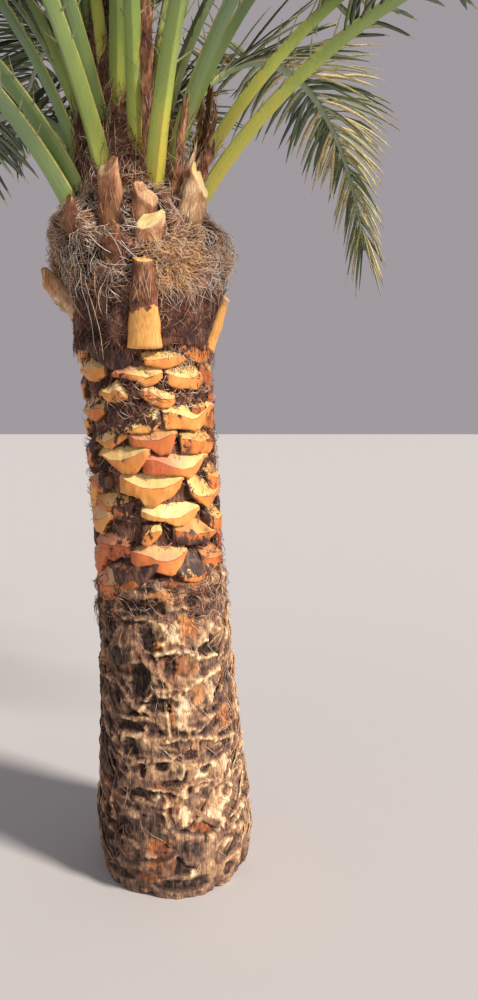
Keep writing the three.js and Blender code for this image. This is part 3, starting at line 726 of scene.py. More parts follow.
# Rotted hollows: place, half width and height in pixels, tilt, how far sunk
HOLLOW_POINTS = [
    ((170, 668), 7, 10, 0, 16), ((139, 682), 9, 16, -8, 20), ((158, 707), 11, 7, 0, 18),
    ((142, 770), 4, 6, 0, 14), ((162, 768), 8, 5, 0, 16), ((206, 769), 4, 4, 0, 9),
    ((208, 651), 8, 6, 0, 9), ((148, 608), 16, 8, 0, 12), ((129, 608), 10, 8, 0, 9),
    ((109, 627), 5, 10, -20, 12), ((146, 640), 7, 13, 0, 10), ((192, 603), 8, 7, 0, 8),
    ((116, 690), 4, 12, -15, 8), ((130, 727), 12, 5, 0, 9), ((135, 795), 16, 6, 10, 9),
    ((170, 785), 12, 4, 0, 8), ((103, 740), 4, 14, -15, 8), ((112, 770), 8, 10, -20, 6),
    ((131, 742), 5, 5, 0, 8), ((189, 756), 7, 4, 0, 8), ((229, 866), 4, 6, 0, 7),
    ((125, 826), 7, 9, -25, 6),
]
# Slits between margins: points, width and depth in mm
SLIT_POINTS = [
    ([(220, 682), (217, 690), (214, 699)], 7, 14), ([(218, 710), (217, 720), (215, 727)], 7, 12),
    ([(225, 742), (220, 750), (213, 756)], 6, 10), ([(213, 790), (206, 803), (199, 815), (190, 828)], 6, 9),
    ([(234, 785), (231, 798), (229, 808)], 6, 8), ([(100, 655), (104, 662), (110, 672)], 6, 9),
    ([(245, 830), (243, 845), (243, 860)], 8, 10), ([(181, 783), (186, 780), (187, 772)], 7, 10),
    ([(118, 690), (126, 705), (134, 717)], 5, 7), ([(172, 700), (170, 715), (172, 735)], 4, 5),
    ([(183, 742), (183, 755)], 5, 4), ([(192, 742), (191, 758)], 5, 5), ([(200, 740), (201, 756)], 5, 4),
    ([(208, 741), (208, 754)], 5, 4), ([(103, 745), (112, 762), (125, 778)], 6, 8),
    ([(205, 834), (206, 842)], 8, 9),
]
OLD_STAND = 0.014

# The camera as worked out from the photograph: its place, tilt down, lens in pixels and the picture's size
CAMERA = (0.205, -2.4, 1.5)
CAMERA_TILT = math.radians(7.5)
LENS_PIXELS = 775.0
PICTURE_SIZE = (478, 1000)
# How far along a line of sight the trunk is looked for, in steps of a quarter of a mm
SIGHT = np.linspace(1.7, 3.2, 6001)[:, None]
# Mm round the weathered stretch to a degree
MM_A_DEGREE = 3.75


def ring_grid(heights, radius_at, sides):
    """One item of rings round the leaning axis."""
    azimuth = np.linspace(0, 2 * math.pi, sides, endpoint=False)[None, :]
    z = np.asarray(heights)[:, None]
    return round_trunk(azimuth, radius_at(azimuth, z), z)[None]


def wrapped(angle):
    return (angle + math.pi) % (2 * math.pi) - math.pi


def core_surface(azimuth, z):
    radius = core_radius(z)
    where = round_trunk(azimuth, radius, z)
    stringy = bumps(where, (0.007, 0.007, 0.030), 5)
    lumpy = bumps(where, 0.030, 6)
    return radius + 0.003 * stringy + 0.005 * lumpy - 0.003


def make_core():
    # Fine where it shows, coarse inside the collar
    heights = (np.arange(0.94, 1.70, 0.0085), np.arange(1.70, 2.10, 0.05), np.arange(2.10, 2.641, 0.02))
    rings = ring_grid(np.concatenate(heights), core_surface, 150)
    tone = 0.48 + 0.40 * bumps(rings[0], (0.03, 0.03, 0.05), 7)
    shells = Shells()
    shells.loft(rings, tone=tone[None])
    shells.piece("trunk_core", [FIBRE_MAT], "trunk_bark", ["trunk"])


def seen_at(pixel, stand):
    """Where the line of sight through a pixel comes within a stand of the trunk's core: the azimuth, the
    height and the core's radius there."""
    right = (pixel[0] - PICTURE_SIZE[0] / 2) / LENS_PIXELS
    up = (PICTURE_SIZE[1] / 2 - pixel[1]) / LENS_PIXELS
    sin, cos = math.sin(CAMERA_TILT), math.cos(CAMERA_TILT)
    x, y, z = (np.array(CAMERA) + SIGHT * np.array([right, sin * up + cos, cos * up - sin])).T
    radius = np.interp(z, *np.array(CORE).T)
    away = np.hypot(x - axis_x(z), y) - radius
    first = np.argmax(away < stand) if (away < stand).any() else np.argmin(away)
    return math.atan2(y[first], x[first] - axis_x(z[first])), z[first], radius[first]


def cut_edge(leaf, pixels, stand):
    """An edge of a fresh base in whole mm across and up from the leaf's own place, without close points."""
    rows = []
    for pixel in pixels:
        azimuth, z, radius = seen_at(pixel, stand)
        across = wrapped(azimuth - azimuth_of(leaf)) * (radius + 0.01)
        rows.append((round(float(across / MM)), round(float((z - height_of(leaf, CUT)) / MM))))
    rows.sort()
    return [row for i, row in enumerate(rows) if i == 0 or row[0] - rows[i - 1][0] > 2]


def old_place(pixel):
    """A pixel's place on the weathered stretch, in degrees round from the front and mm up."""
    azimuth, z, _ = seen_at(pixel, OLD_STAND)
    return math.degrees(wrapped(azimuth - FRONT)), float(z / MM)


def old_line(pixels):
    return [tuple(round(part) for part in old_place(pixel)) for pixel in pixels]


def old_form(pixel, half_x, half_y):
    """The place of a form in whole degrees and mm, with its half width and height in mm."""
    turn, up = old_place(pixel)
    wide = abs(old_place((pixel[0] + 4, pixel[1]))[0] - turn) / 4 * half_x * MM_A_DEGREE
    tall = abs(old_place((pixel[0], pixel[1] + 4))[1] - up) / 4 * half_y
    return round(turn), round(up), round(wide), round(tall)


CUT_FORMS = {
    leaf: [cut_edge(leaf, edge, stand) for edge, stand in zip(edges, CUT_STANDS)]
    for leaf, edges in CUT_POINTS.items()
}
OLD_PATCHES = [(*old_form(*row[:3]), *row[3:]) for row in PATCH_POINTS]
OLD_RIDGES = [(old_line(points), *rest) for points, *rest in RIDGE_POINTS]
OLD_HOLLOWS = [(*old_form(*row[:3]), *row[3:]) for row in HOLLOW_POINTS]
OLD_SLITS = [(old_line(points), *rest) for points, *rest in SLIT_POINTS]


def outline_of(leaf):
    """The three edges of a fresh base as (mm across, mm up) points: measured, or drawn by the rule."""
    if leaf in CUT_FORMS:
        return CUT_FORMS[leaf]
    r = [chance(leaf, 60 + n) for n in range(12)]
    half, low = 88 * mix(0.88, 1.1, r[0]), mix(-0.25, 0.3, r[1])
    left, right = mix(-12, 10, r[2]), mix(-8, 14, r[5])
    lip, foot = mix(-14, -34, r[6]), mix(-62, -80, r[7])
    edges = [
        [(-1, left), (-0.4, mix(6, 20, r[3])), (0.35, mix(8, 22, r[4])), (1, right)],
        [(-0.92, left - 3), (low - 0.5, lip + 9), (low, lip), (low + 0.45, lip + 8), (0.94, right - 4)],
        [
            (-1, left - mix(6, 34, r[8])), (low - 0.6, foot + mix(12, 28, r[9])), (low - 0.15, foot),
            (low + 0.3, foot + mix(0, 8, r[10])), (low + 0.62, foot + mix(22, 34, r[11])), (1, right - 10),
        ],
    ]
    return [[(share * half, up) for share, up in edge] for edge in edges]


def cut_look(leaf):
    """The look of a fresh base, as in CUT_LOOKS: measured, or dealt out by the rule."""
    r = [chance(leaf, 24 + n) for n in range(4)]
    return CUT_LOOKS.get(leaf, (mix(0.5, 0.85, r[1]), 0.75 * r[0] ** 2, 360 * r[2], 0.5 * r[3], 0.2))


def cut_base(leaf):
    """A fresh base as rings from left to right, and each point's place on it across and up."""
    azimuth, level = azimuth_of(leaf), height_of(leaf, CUT)
    edges = [np.array(edge, float).T * MM for edge in outline_of(leaf)]
    left, right = min(edge[0].min() for edge in edges), max(edge[0].max() for edge in edges)
    across = np.linspace(left, right, CUT_SECTIONS)[:, None]
    top, lip, low = (np.interp(across, *edge) for edge in edges)
    wave = bumps(np.concatenate([across / 0.008, across * 0 + leaf, across * 0], 1), 1.0, 11)[:, None]
    top = top + 0.013 + 0.0015 * wave
    lip = np.minimum(lip, top - 0.003)
    low = np.minimum(low - 0.003 + 0.0018 * wave, lip - 0.004)
    u = (across - (left + right) / 2) / ((right - left) / 2)
    out = CUT_OUT * mix(0.75, 1.15, chance(leaf, 2))
    far = out * (0.68 + 0.32 * np.minimum(1, (1 - np.abs(u)) / 0.2))
    faces = [mix(top, lip, CUT_FACE[None]), mix(lip, low, SHAVED_FACE[None]), mix(top, low, BACK_FACE[None])]
    heights = level + np.concatenate(faces, 1)
    sunk = np.broadcast_to(SUNK_BACK, (CUT_SECTIONS, len(BACK_FACE)))
    depths = [mix(-0.004, far, CUT_FACE[None] ** 0.85), far * SHAVED_OUT[None], sunk]
    turned = azimuth + across / (core_radius(level) + out / 2)
    rings = round_trunk(turned, core_radius(heights) + np.concatenate(depths, 1), heights)
    return rings, np.stack(np.broadcast_arrays(u, (heights - level) / 0.045 + 0.5), -1)


def make_cut_bases():
    leaves = list(range(CUT[0], CUT_TOP))
    rings, places = (np.stack(values) for values in zip(*(cut_base(leaf) for leaf in leaves)))
    # Planed facets and knife marks stand a little in or out
    marks = 0.0030 * bumps(rings, 0.028, 13) + 0.0014 * bumps(rings, (0.010, 0.010, 0.02), 14)
    rings = rings + straight_out(rings) * marks[..., None]
    looks = np.array([cut_look(leaf) for leaf in leaves], float).T[:, :, None, None]
    tone, torn, side, rust_and_painted_light, slope = looks
    # Finish of each face: 0 cut, 1 shaved, 2 torn at the back
    lip, foot = len(CUT_FACE) - 1, len(CUT_FACE) + len(SHAVED_FACE) - 1
    finish = np.full(rings[:, :-1].shape[:3], 2)
    finish[:, :, :lip] = 0
    finish[:, :, lip:foot] = 1
    lean = places[..., 0] * np.cos(np.radians(side)) + places[..., 1] * np.sin(np.radians(side))
    noise = bumps(rings, 0.022, 15) + 0.5 * bumps(rings, 0.009, 16)
    edge = np.clip((np.abs(places[..., 0]) - 0.86) / 0.14, 0, 1)
    wear = np.where(torn > 0, 1.5 * torn - 0.36 + 0.5 * lean * (torn > 0.15), -0.1)
    wear = np.maximum(wear, 0.07) + 0.31 * noise + 0.38 * edge
    order = np.arange(rings.shape[2])[None, None, :]
    rims = (order == lip) | (order == foot)
    phi = np.degrees(wrapped(azimuth_of(np.array(leaves)) - FRONT))[:, None, None]
    # Painted light: out of the sun the flesh is painted pinker and lighter, as its shade looks, and in the
    # sun darker and more orange against the glare, with more worn skin. More rust on a base's left is
    # painted shade.
    shade, glare = np.clip((-phi - 15) / 45, 0, 1), np.clip((phi - 15) / 45, 0, 1) * (phi < 150)
    wear = wear + 0.10 * rims + 0.40 * (order >= foot - 1) + 0.17 * glare
    tone = tone + 0.16 * bumps(rings, 0.03, 17) - 0.75 * rims + 0.14 * shade - 0.44 * glare
    rust_and_painted_light = rust_and_painted_light + 0.28 * shade + 0.14 * glare - 0.5 * slope * places[..., 0] + 0.12 * bumps(rings, 0.04, 18)
    shells = Shells()
    shells.loft(rings, finish, (2, 2), tone, wear, rust_and_painted_light)
    shells.piece("fresh_leaf_bases", [CUT_PITH, SHAVED, TORN_RIND], "trunk_bark", ["trunk"])


def line_distance(x, y, points):
    """Distance in mm from each place to a line through points, which are degrees round and mm up."""
    points = [(turn * MM_A_DEGREE, up) for turn, up in points]
    best = np.full(x.shape, np.inf)
    for (x0, y0), (x1, y1) in zip(points, points[1:]):
        dx, dy = x1 - x0, y1 - y0
        t = np.clip(((x - x0) * dx + (y - y0) * dy) / (dx * dx + dy * dy + 1e-9), 0, 1)
        best = np.minimum(best, np.hypot(x - x0 - t * dx, y - y0 - t * dy))
    return best


def blob(x, y, form, rough):
    """How far each place lies inside a tilted oval, from 0 outside to 1, with a rough edge."""
    cx, cy, half_x, half_y, tilt = form
    turn = math.radians(tilt)
    dx, dy = x - cx, y - cy
    a, b = dx * math.cos(turn) + dy * math.sin(turn), dy * math.cos(turn) - dx * math.sin(turn)
    away = (np.abs(a / half_x) ** 2.6 + np.abs(b / half_y) ** 2.6) ** (1 / 2.6)
    return np.clip((1.22 - away + 0.46 * rough) / 0.46, 0, 1)


# The grid of the weathered stretch, its top and how wide one base is
OLD_ROWS = 292
OLD_COLUMNS = 338
OLD_TOP = 0.985
OLD_WIDTH = 0.215
# A weathered base from its top down: shares of its height, how much each is lighter, and how rotten
OLD_STEPS = [0, 0.03, 0.08, 0.14, 0.30, 0.36, 0.40, 0.55, 0.8, 1.0]
OLD_SHADES = [0.1, 0.22, 0.22, -0.05, -0.2, -0.1, 0.18, 0.04, -0.06, -0.15]
OLD_ROT = [0, 0, 0, 0.5, 1, 0.7, 0, 0, 0, 0.3]


def grow_old_bases(azimuth, z, coarse, middling, small, warp):
    """The weathered bases by the rule, as depth, tone, wear and rust: each has an arched rim, a rotted
    hollow under it, a ragged lip, a fibrous face and margins that run down to a point."""
    depth = -0.010 + 0.003 * middling
    tone = 0.34 + 0.12 * middling
    wear = 0.30 + 0.2 * coarse
    rust_and_painted_light = 0.10 + 0.25 * coarse
    for leaf in range(OLD[0] - 3, CUT[0] + 3):
        turn, rise = OLD_STRAYS.get(leaf, (0, 0))
        middle = azimuth_of(leaf) + math.radians(turn)
        level = height_of(leaf, OLD) + rise
        level = level + BASE_SKEW * core_radius(level) * math.cos(middle)
        width = OLD_WIDTH * mix(0.88, 1.12, chance(leaf, 1))
        u = wrapped(azimuth - middle) * (core_radius(level) + 0.01) / (width / 2) + 18 * warp
        v = z - level - mix(-0.10, 0.10, chance(leaf, 3)) * u * width / 2 + warp
        belly = np.clip(1 - (u + 0.5 * (chance(leaf, 21) - 0.5) * (1 - u * u)) ** 2, 0, 1)
        top = 0.052 - mix(0.008, 0.034, chance(leaf, 32)) * u * u
        low = np.minimum(mix(top - 0.035, -0.118, belly**0.8), top - 0.02)
        inside = (np.abs(u) < 1) & (v < top) & (v > low)
        s = (top - v) / (top - low)
        hollow = float(np.clip(1.2 * chance(leaf, 31) - 0.2, 0, 1)) * (0.35 if leaf < 22 else 1.0)
        rim, pit = mix(0.010, 0.022, chance(leaf, 33)), mix(0.010, -0.012, hollow)
        face = mix(0.014, 0.025, chance(leaf, 2))
        shape = [0.002, rim, rim, mix(rim, pit, 0.8), pit, mix(face, pit, 0.3)]
        shape += [face, face * 0.9, face * 0.55, 0.003]
        here = np.interp(s, OLD_STEPS, shape) * (0.4 + 0.6 * belly**0.4)
        margin = np.exp(-(((v - low) / 0.011) ** 2)) + np.exp(-(((1 - np.abs(u)) / 0.07) ** 2)) * (s > 0.3)
        margin = np.clip(margin, 0, 1)
        here = here + 0.0045 * margin * np.clip(0.6 + 0.8 * small + 0.6 * middling, 0, 1.4)
        won = inside & (here > depth)
        own = mix(0.34, 0.72, chance(leaf, 35)) + np.interp(s, OLD_STEPS, OLD_SHADES)
        rotten = np.interp(s, OLD_STEPS, OLD_ROT) * hollow
        depth = np.where(won, here, depth)
        tone = np.where(won, own + 0.05 * margin, tone)
        wear = np.where(won, 0.95 * rotten + 0.12 * middling, wear)
        rust_and_painted_light = np.where(won, (0.62 if chance(leaf, 34) > 0.84 else 0.08) + 0.25 * coarse, rust_and_painted_light)
    return depth, tone, wear, rust_and_painted_light


def work_front(x, y, made, coarse, middling, small):
    """The measured forms in front, worked into what the rule has made. x and y are mm round and up."""
    depth, tone, wear, rust_and_painted_light = made
    rough = middling + 0.6 * small
    # The rule's own forms are weaker where the measured ones stand
    facing = np.clip((100 - np.abs(x) / MM_A_DEGREE) / 12, 0, 1)
    depth = mix(depth, 0.62 * depth + 0.004, facing)
    tone = mix(tone, 0.14 + 0.70 * tone, facing)
    wear = wear * mix(1, 0.45, facing)
    for across, up, half_x, half_y, tilt, lift, shade, red in OLD_PATCHES:
        share = blob(x, y, (across * MM_A_DEGREE, up, half_x, half_y, tilt), rough)
        depth = mix(depth, (9 + lift) * MM, 0.75 * share)
        tone, rust_and_painted_light = mix(tone, shade + 0.1 * middling, share), mix(rust_and_painted_light, red, share)
        wear = wear * (1 - share)
    for points, wide, lift, shade, red in OLD_RIDGES:
        away = line_distance(x + 3 * rough, y + 2 * middling, points)
        share = np.exp(-((away / (wide * (0.70 + 0.30 * middling + 0.15 * small))) ** 2))
        depth = depth + 0.95 * lift * MM * share * np.clip(0.9 + 0.5 * small, 0.3, 1.2)
        near = np.clip(1.2 * share - 0.1, 0, 1) * np.clip(0.75 + 0.7 * coarse + 0.5 * small, 0.1, 1)
        tone, rust_and_painted_light, wear = mix(tone, shade - 0.02, near), mix(rust_and_painted_light, red, near), wear * (1 - near)
    for across, up, half_x, half_y, tilt, sunk in OLD_HOLLOWS:
        share = blob(x, y, (across * MM_A_DEGREE, up, half_x, half_y, tilt), rough)
        depth = depth - sunk * MM * share
        wear = np.maximum(wear, (0.8 + 0.25 * small) * share)
    for points, wide, sunk in OLD_SLITS:
        share = np.exp(-((line_distance(x + 2 * rough, y, points) / (0.6 * wide)) ** 2))
        depth = depth - 0.8 * sunk * MM * share
        wear = np.maximum(wear, (0.75 + 0.3 * middling) * share)
    return depth, tone, wear, rust_and_painted_light


def make_old_bases():
    """The weathered stretch as one rugged surface. Gives its heights and its radius at each place."""
    heights = np.linspace(0, OLD_TOP, OLD_ROWS)
    azimuth = np.linspace(0, 2 * math.pi, OLD_COLUMNS, endpoint=False)[None, :]
    azimuth, z = np.broadcast_arrays(azimuth, heights[:, None])
    where = round_trunk(azimuth, core_radius(z) + 0.01, z)
    coarse, middling, small = bumps(where, 0.045, 20), bumps(where, 0.020, 21), bumps(where, 0.009, 22)
    streaks = bumps(where, (0.0065, 0.0065, 0.055), 19)
    made = grow_old_bases(azimuth, z, coarse, middling, small, 0.006 * bumps(where, 0.05, 24))
    x, y = np.degrees(wrapped(azimuth - FRONT)) * MM_A_DEGREE, z / MM
    depth, tone, wear, rust_and_painted_light = work_front(x, y, made, coarse, middling, small)
    depth = depth + 0.0020 * streaks + 0.0030 * middling + 0.0022 * small
    # The top runs in under the fresh bases
    depth = mix(depth, -0.012, np.clip((z - 0.955) / 0.03, 0, 1))
    depth = np.clip(depth, -0.020, 0.034)
    radius = core_radius(z) + depth
    # Painted shade and highlight: darker and more worn in the recesses, lighter where the surface stands
    # proud
    around = depth
    for axis in (1, 0):
        around = sum(np.roll(around, n, axis) for n in range(-4, 5)) / 9
    proud = np.clip((depth - around) / 0.005, -1.4, 1.4)
    # Painted light: greyer and darker out of the sun, warmer and lighter in it
    painted_sunlight = np.sin(azimuth - FRONT)
    rust_and_painted_light = rust_and_painted_light - 0.05 + 0.12 * painted_sunlight
    tone = tone - 0.03 + 0.02 * painted_sunlight + 0.05 * streaks + 0.14 * middling + 0.06 * small + 0.11 * proud
    wear = wear + 0.25 * np.clip(-proud - 0.4, 0, 1)
    shells = Shells()
    shells.loft(round_trunk(azimuth, radius, z)[None], tone=tone[None], wear=wear[None], rust_and_painted_light=rust_and_painted_light[None])
    shells.piece("weathered_leaf_bases", [WEATHERED], "trunk_bark", ["trunk"])
    return heights, radius


def old_face(azimuth, z):
    """The radius of the weathered surface."""
    heights, radius = OLD_SURFACE
    row = np.clip(np.round(z / heights[-1] * (len(heights) - 1)), 0, len(heights) - 1).astype(int)
    column = np.round(azimuth / (2 * math.pi) * radius.shape[1]).astype(int) % radius.shape[1]
    return radius[row, column]


# The fibre

# A radius that turns lengths round the trunk into angles
TRUNK_RADIUS = 0.22


def strand_rings(paths, thick, sides=3):
    """Tapering strands along paths of points (items, points, 3), thick at their middles."""
    runs = unit(np.gradient(paths, axis=1))
    across = unit(np.cross(runs, unit(draw.normal(size=(len(paths), 1, 3)))))
    upward = np.cross(runs, across)
    count = paths.shape[1]
    taper = np.sin(math.pi * (0.12 + 0.82 * np.linspace(0, 1, count))) ** 0.6
    half = np.asarray(thick)[:, None] / 2 * taper[None]
    turn = (np.arange(sides) * 2 * math.pi / sides)[:, None]
    ring = across[:, :, None] * np.cos(turn) + upward[:, :, None] * np.sin(turn)
    return paths[:, :, None] + ring * half[..., None, None]


def surface_strands(azimuth, z, radius_at, length, angle, lift, wander, points):
    """Paths of strands that lie on a surface round the trunk. angle is from upright in degrees. lift is how
    far their middles and ends stand off, as two arrays."""
    t = np.linspace(0, 1, points)[None]
    angle = np.radians(angle)[:, None] + np.radians(wander)[:, None] * np.sin(t * 4.0 + azimuth[:, None] * 9)
    step = length[:, None] / (points - 1)
    rise = np.cumsum(np.cos(angle) * step, 1)
    go = np.cumsum(np.sin(angle) * step, 1)
    height = np.maximum(z[:, None] + rise, 0.002)
    turned = azimuth[:, None] + go / TRUNK_RADIUS
    off = lift[0][:, None] * np.sin(math.pi * t) + lift[1][:, None] * t**2
    return round_trunk(turned, radius_at(turned, height) + off, height)


def lay(
    shells, surface, count, z, azimuth, length, angle, lift, thick, weights, points=4, wander=25, gathered=0
):
    """Strands on a surface. Most settings are a pair of limits. angle is a mean and a spread in degrees,
    lift two pairs (middles, ends) and thick a pair in mm, weights a mix of fibre, wander how far strands
    bend in degrees, and gathered how often those in a hollow of the collar are moved elsewhere."""
    limits = [draw.uniform(a, b, count) for a, b in (z, azimuth, length, lift[0], lift[1], thick)]
    height, turned, long, bow, end, across = limits
    for _ in range(gathered):
        bare = lumps(np.radians(turned), height) < -0.05
        height[bare], turned[bare] = draw.uniform(*z, bare.sum()), draw.uniform(*azimuth, bare.sum())
    angles, wanders = draw.normal(*angle, count), draw.uniform(-wander, wander, count)
    lifts = (bow * MM, end * MM)
    paths = surface_strands(np.radians(turned), height, surface, long, angles, lifts, wanders, points)
    shares = np.array(weights, float)
    finish = draw.choice(len(shares), size=count, p=shares / shares.sum())
    shells.loft(strand_rings(paths, across * MM), finish[:, None, None], (finish, finish))


def stub_line(row):
    """Where a stub stands: its azimuth, height and root point, and the ways that it runs and faces."""
    leaf, _, lean, _, _, stand, turn, rise = row
    z = height_of(leaf, STUBBED) - STUB_DROP + rise
    azimuth = azimuth_of(leaf) + math.radians(turn)
    outward = np.array([math.cos(azimuth), math.sin(azimuth), 0])
    run = outward * math.sin(math.radians(lean)) + UP * math.cos(math.radians(lean))
    return azimuth, z, round_trunk(azimuth, core_radius(z) + stand, z), run, outward


def lumps(azimuth, z):
    """Where the fibre of the collar bulges, from -1 in its hollows to 1."""
    return bumps(round_trunk(azimuth, 0.25, z), 0.046, 30)


def collar_face(azimuth, z):
    """The collar's shaggy surface, pressed down round the stubs, and above it the narrowing heart."""
    low, high = COLLAR[0][0], COLLAR[-1][0]
    radius = np.where(z < 2.085, collar_radius(azimuth, np.clip(z, low, high)), 0.0)
    radius = np.maximum(radius, core_radius(z) + 0.026)
    where = round_trunk(azimuth, radius, z)
    shaggy = np.clip((z - BELT_TOP) / 0.03, 0.25, 1)
    radius = radius + shaggy * (0.016 * lumps(azimuth, z) + 0.007 * bumps(where, (0.018, 0.018, 0.03), 31))
    for row in STUBS:
        turned, foot, _, _, _ = stub_line(row)
        _, length, lean, root_width, cut_width, stand, _, _ = row
        climb = z - foot
        tall = length * math.cos(math.radians(lean))
        face = core_radius(foot) + stand + climb * math.tan(math.radians(lean))
        half = mix(root_width, cut_width, np.clip(climb / tall, 0, 1)) / 2
        across = np.abs(wrapped(azimuth - turned)) * radius
        bare = tall * (1 - STUB_BARE.get(row[0], 0.5))
        beside = np.clip((half + 0.022 - across) / 0.022, 0, 1)
        share = beside * np.clip((climb - bare) / 0.012, 0, 1) * (climb < tall + 0.01)
        radius = np.minimum(radius, mix(radius, np.maximum(face - 0.008, 0.12), share))
    return radius


def make_collar():
    # The first heights close the mat underneath, the last ones on top
    heights = np.concatenate([[1.645, 1.650], np.linspace(1.657, 2.08, 68), np.linspace(2.09, 2.13, 6)])

    def radius_at(azimuth, z):
        return np.where(z <= 1.647, 0.17, np.where(z > 2.125, 0.12, collar_face(azimuth, z)))

    rings = ring_grid(heights, radius_at, 180)
    level = rings[0] * [1, 1, 0]
    ragged = 0.014 * bumps(level, 0.028, 33) + 0.008 * bumps(level, 0.010, 34) - 0.004
    rings[0, ..., 2] += ragged * np.clip((1.70 - rings[0][..., 2]) / 0.035, 0, 1)
    x, y, z = np.moveaxis(rings[0], -1, 0)
    high = np.clip((z - BELT_TOP) / 0.04, 0, 1)
    hollow = high * np.clip(-1.6 * lumps(np.arctan2(y, x - axis_x(z)), z), 0, 1)
    # Painted light: lighter towards +X, the sunlit side, and darker in the hollows between lumps, as painted
    # shade. The belt is darker for its packed dark fibre, and partly as painted shade under the shag.
    tone = mix(0.40, 0.66, high) + 0.11 * x / np.hypot(x, y)
    tone = tone + 0.35 * bumps(rings[0], 0.035, 32) - 0.8 * hollow
    shells = Shells()
    shells.loft(rings, tone=tone[None])
    shells.piece("collar_mat", [FIBRE_MAT], "fibre", ["fibre_collar"])


# Mixes of fibre: shares of black-brown, brown, tan, straw, bleached, rusty and, in one of them, golden
BELT = (3, 5, 1.4, 0.1, 0.1, 2.4)
SHAG = (1.8, 2.2, 3.6, 5.2, 8.4, 1.4)
FRIZZ = (0.8, 2.4, 5, 5.5, 5, 1.4)
STRAW = (0.1, 0.6, 2, 5, 1.5, 2, 7)
PALE = (0, 0, 1, 3, 4, 0)
DARK = (3, 5, 3, 0.8, 0.1, 1.8)
DUSTY = (2, 4, 4, 2, 1, 0.6)
FLAKY = (0.5, 2, 4, 4, 1.5, 1.5)
TANGLED = (3, 5, 3.5, 1.5, 0.5, 1.5)
SHREDDED = (0, 1.5, 4, 4, 2, 3)
TUFTED = (6, 3, 0.5, 0, 0, 0.5)
RAGGED = (4, 4, 2, 0.6, 0.4, 4)
HAIR = (3, 5, 3, 1.4, 0.6, 0.4)
HEART = (2.4, 5, 4, 1.6, 1.2, 3.6)
# Strands as lay() takes them: count, height, azimuth, length, angle, lift, thickness and mix, and for some
# also points, wander and gathered
COLLAR_STRANDS = [
    # The belt: packed dark fibre, woven both ways, with a fringe
    (650, (1.66, 1.775), ROUND, (0.02, 0.07), (55, 25), ((0, 4), (-3, 3)), (0.9, 1.7), BELT),
    (650, (1.66, 1.775), ROUND, (0.02, 0.07), (-55, 25), ((0, 4), (-3, 3)), (0.9, 1.7), BELT),
    (420, (1.655, 1.69), ROUND, (0.02, 0.06), (180, 28), ((0, 5), (-3, 8)), (0.8, 1.5), BELT),
    # The shag: tangled at all angles, with a frizz that stands off it
    (2600, (1.80, 2.09), ROUND, (0.03, 0.09), (120, 70), ((2, 14), (-3, 12)), (0.9, 2.1), SHAG, 4, 25, 2),
    (1700, (1.81, 2.09), ROUND, (0.02, 0.07), (90, 90), ((2, 14), (-3, 14)), (0.9, 2.0), SHAG, 4, 80, 2),
    (1300, (1.81, 2.10), ROUND, (0.02, 0.06), (90, 60), ((1, 8), (4, 26)), (0.8, 1.6), FRIZZ, 4, 25, 2),
    (240, (1.86, 2.03), (-30, 30), (0.03, 0.08), (60, 60), ((2, 12), (10, 38)), (0.8, 1.5), FRIZZ),
    # The straw-coloured patch right of the middle, and bleached strands that hang in loops on the left
    (800, (1.83, 1.95), (-75, -50), (0.02, 0.07), (135, 60), ((5, 20), (2, 18)), (1.1, 2.2), STRAW, 4, 60),
    (22, (1.86, 2.06), (-128, -98), (0.06, 0.16), (170, 30), ((8, 26), (0, 12)), (1.3, 2.3), PALE, 8, 50),
    (2, (1.95, 1.97), (-124, -121), (0.30, 0.34), (180, 3), ((10, 16), (0, 8)), (2.2, 3.0), PALE, 12, 8),
    (70, (1.84, 2.06), ROUND, (0.04, 0.11), (150, 60), ((4, 18), (0, 12)), (0.9, 1.6), PALE, 6, 50),
]
# Strands that are woven both ways between the leaf bases: surface, count, height, azimuth, length, slant and
# its spread, lift, thickness and mix
GAP_STRANDS = [
    (core_surface, 1300, (0.95, 1.67), ROUND, (0.03, 0.08), 48, 22, ((2, 13), (-4, 9)), (1.1, 2.1), DARK),
    (old_face, 350, (0.01, 0.95), ROUND, (0.03, 0.09), 24, 20, ((1, 5), (-4, 5)), (1.1, 2.0), DUSTY),
    (old_face, 180, (0.05, 0.90), (-45, 25), (0.03, 0.11), 32, 14, ((1, 6), (-3, 9)), (1.2, 2.4), FLAKY),
]
# Dark tufts on the left outline of the fresh stretch
TUFTS = 14


def make_collar_strands():
    shells = Shells()
    for row in COLLAR_STRANDS:
        lay(shells, collar_face, *row)
    shells.piece("collar_strands", FIBRES, "fibre", ["fibre_collar"])


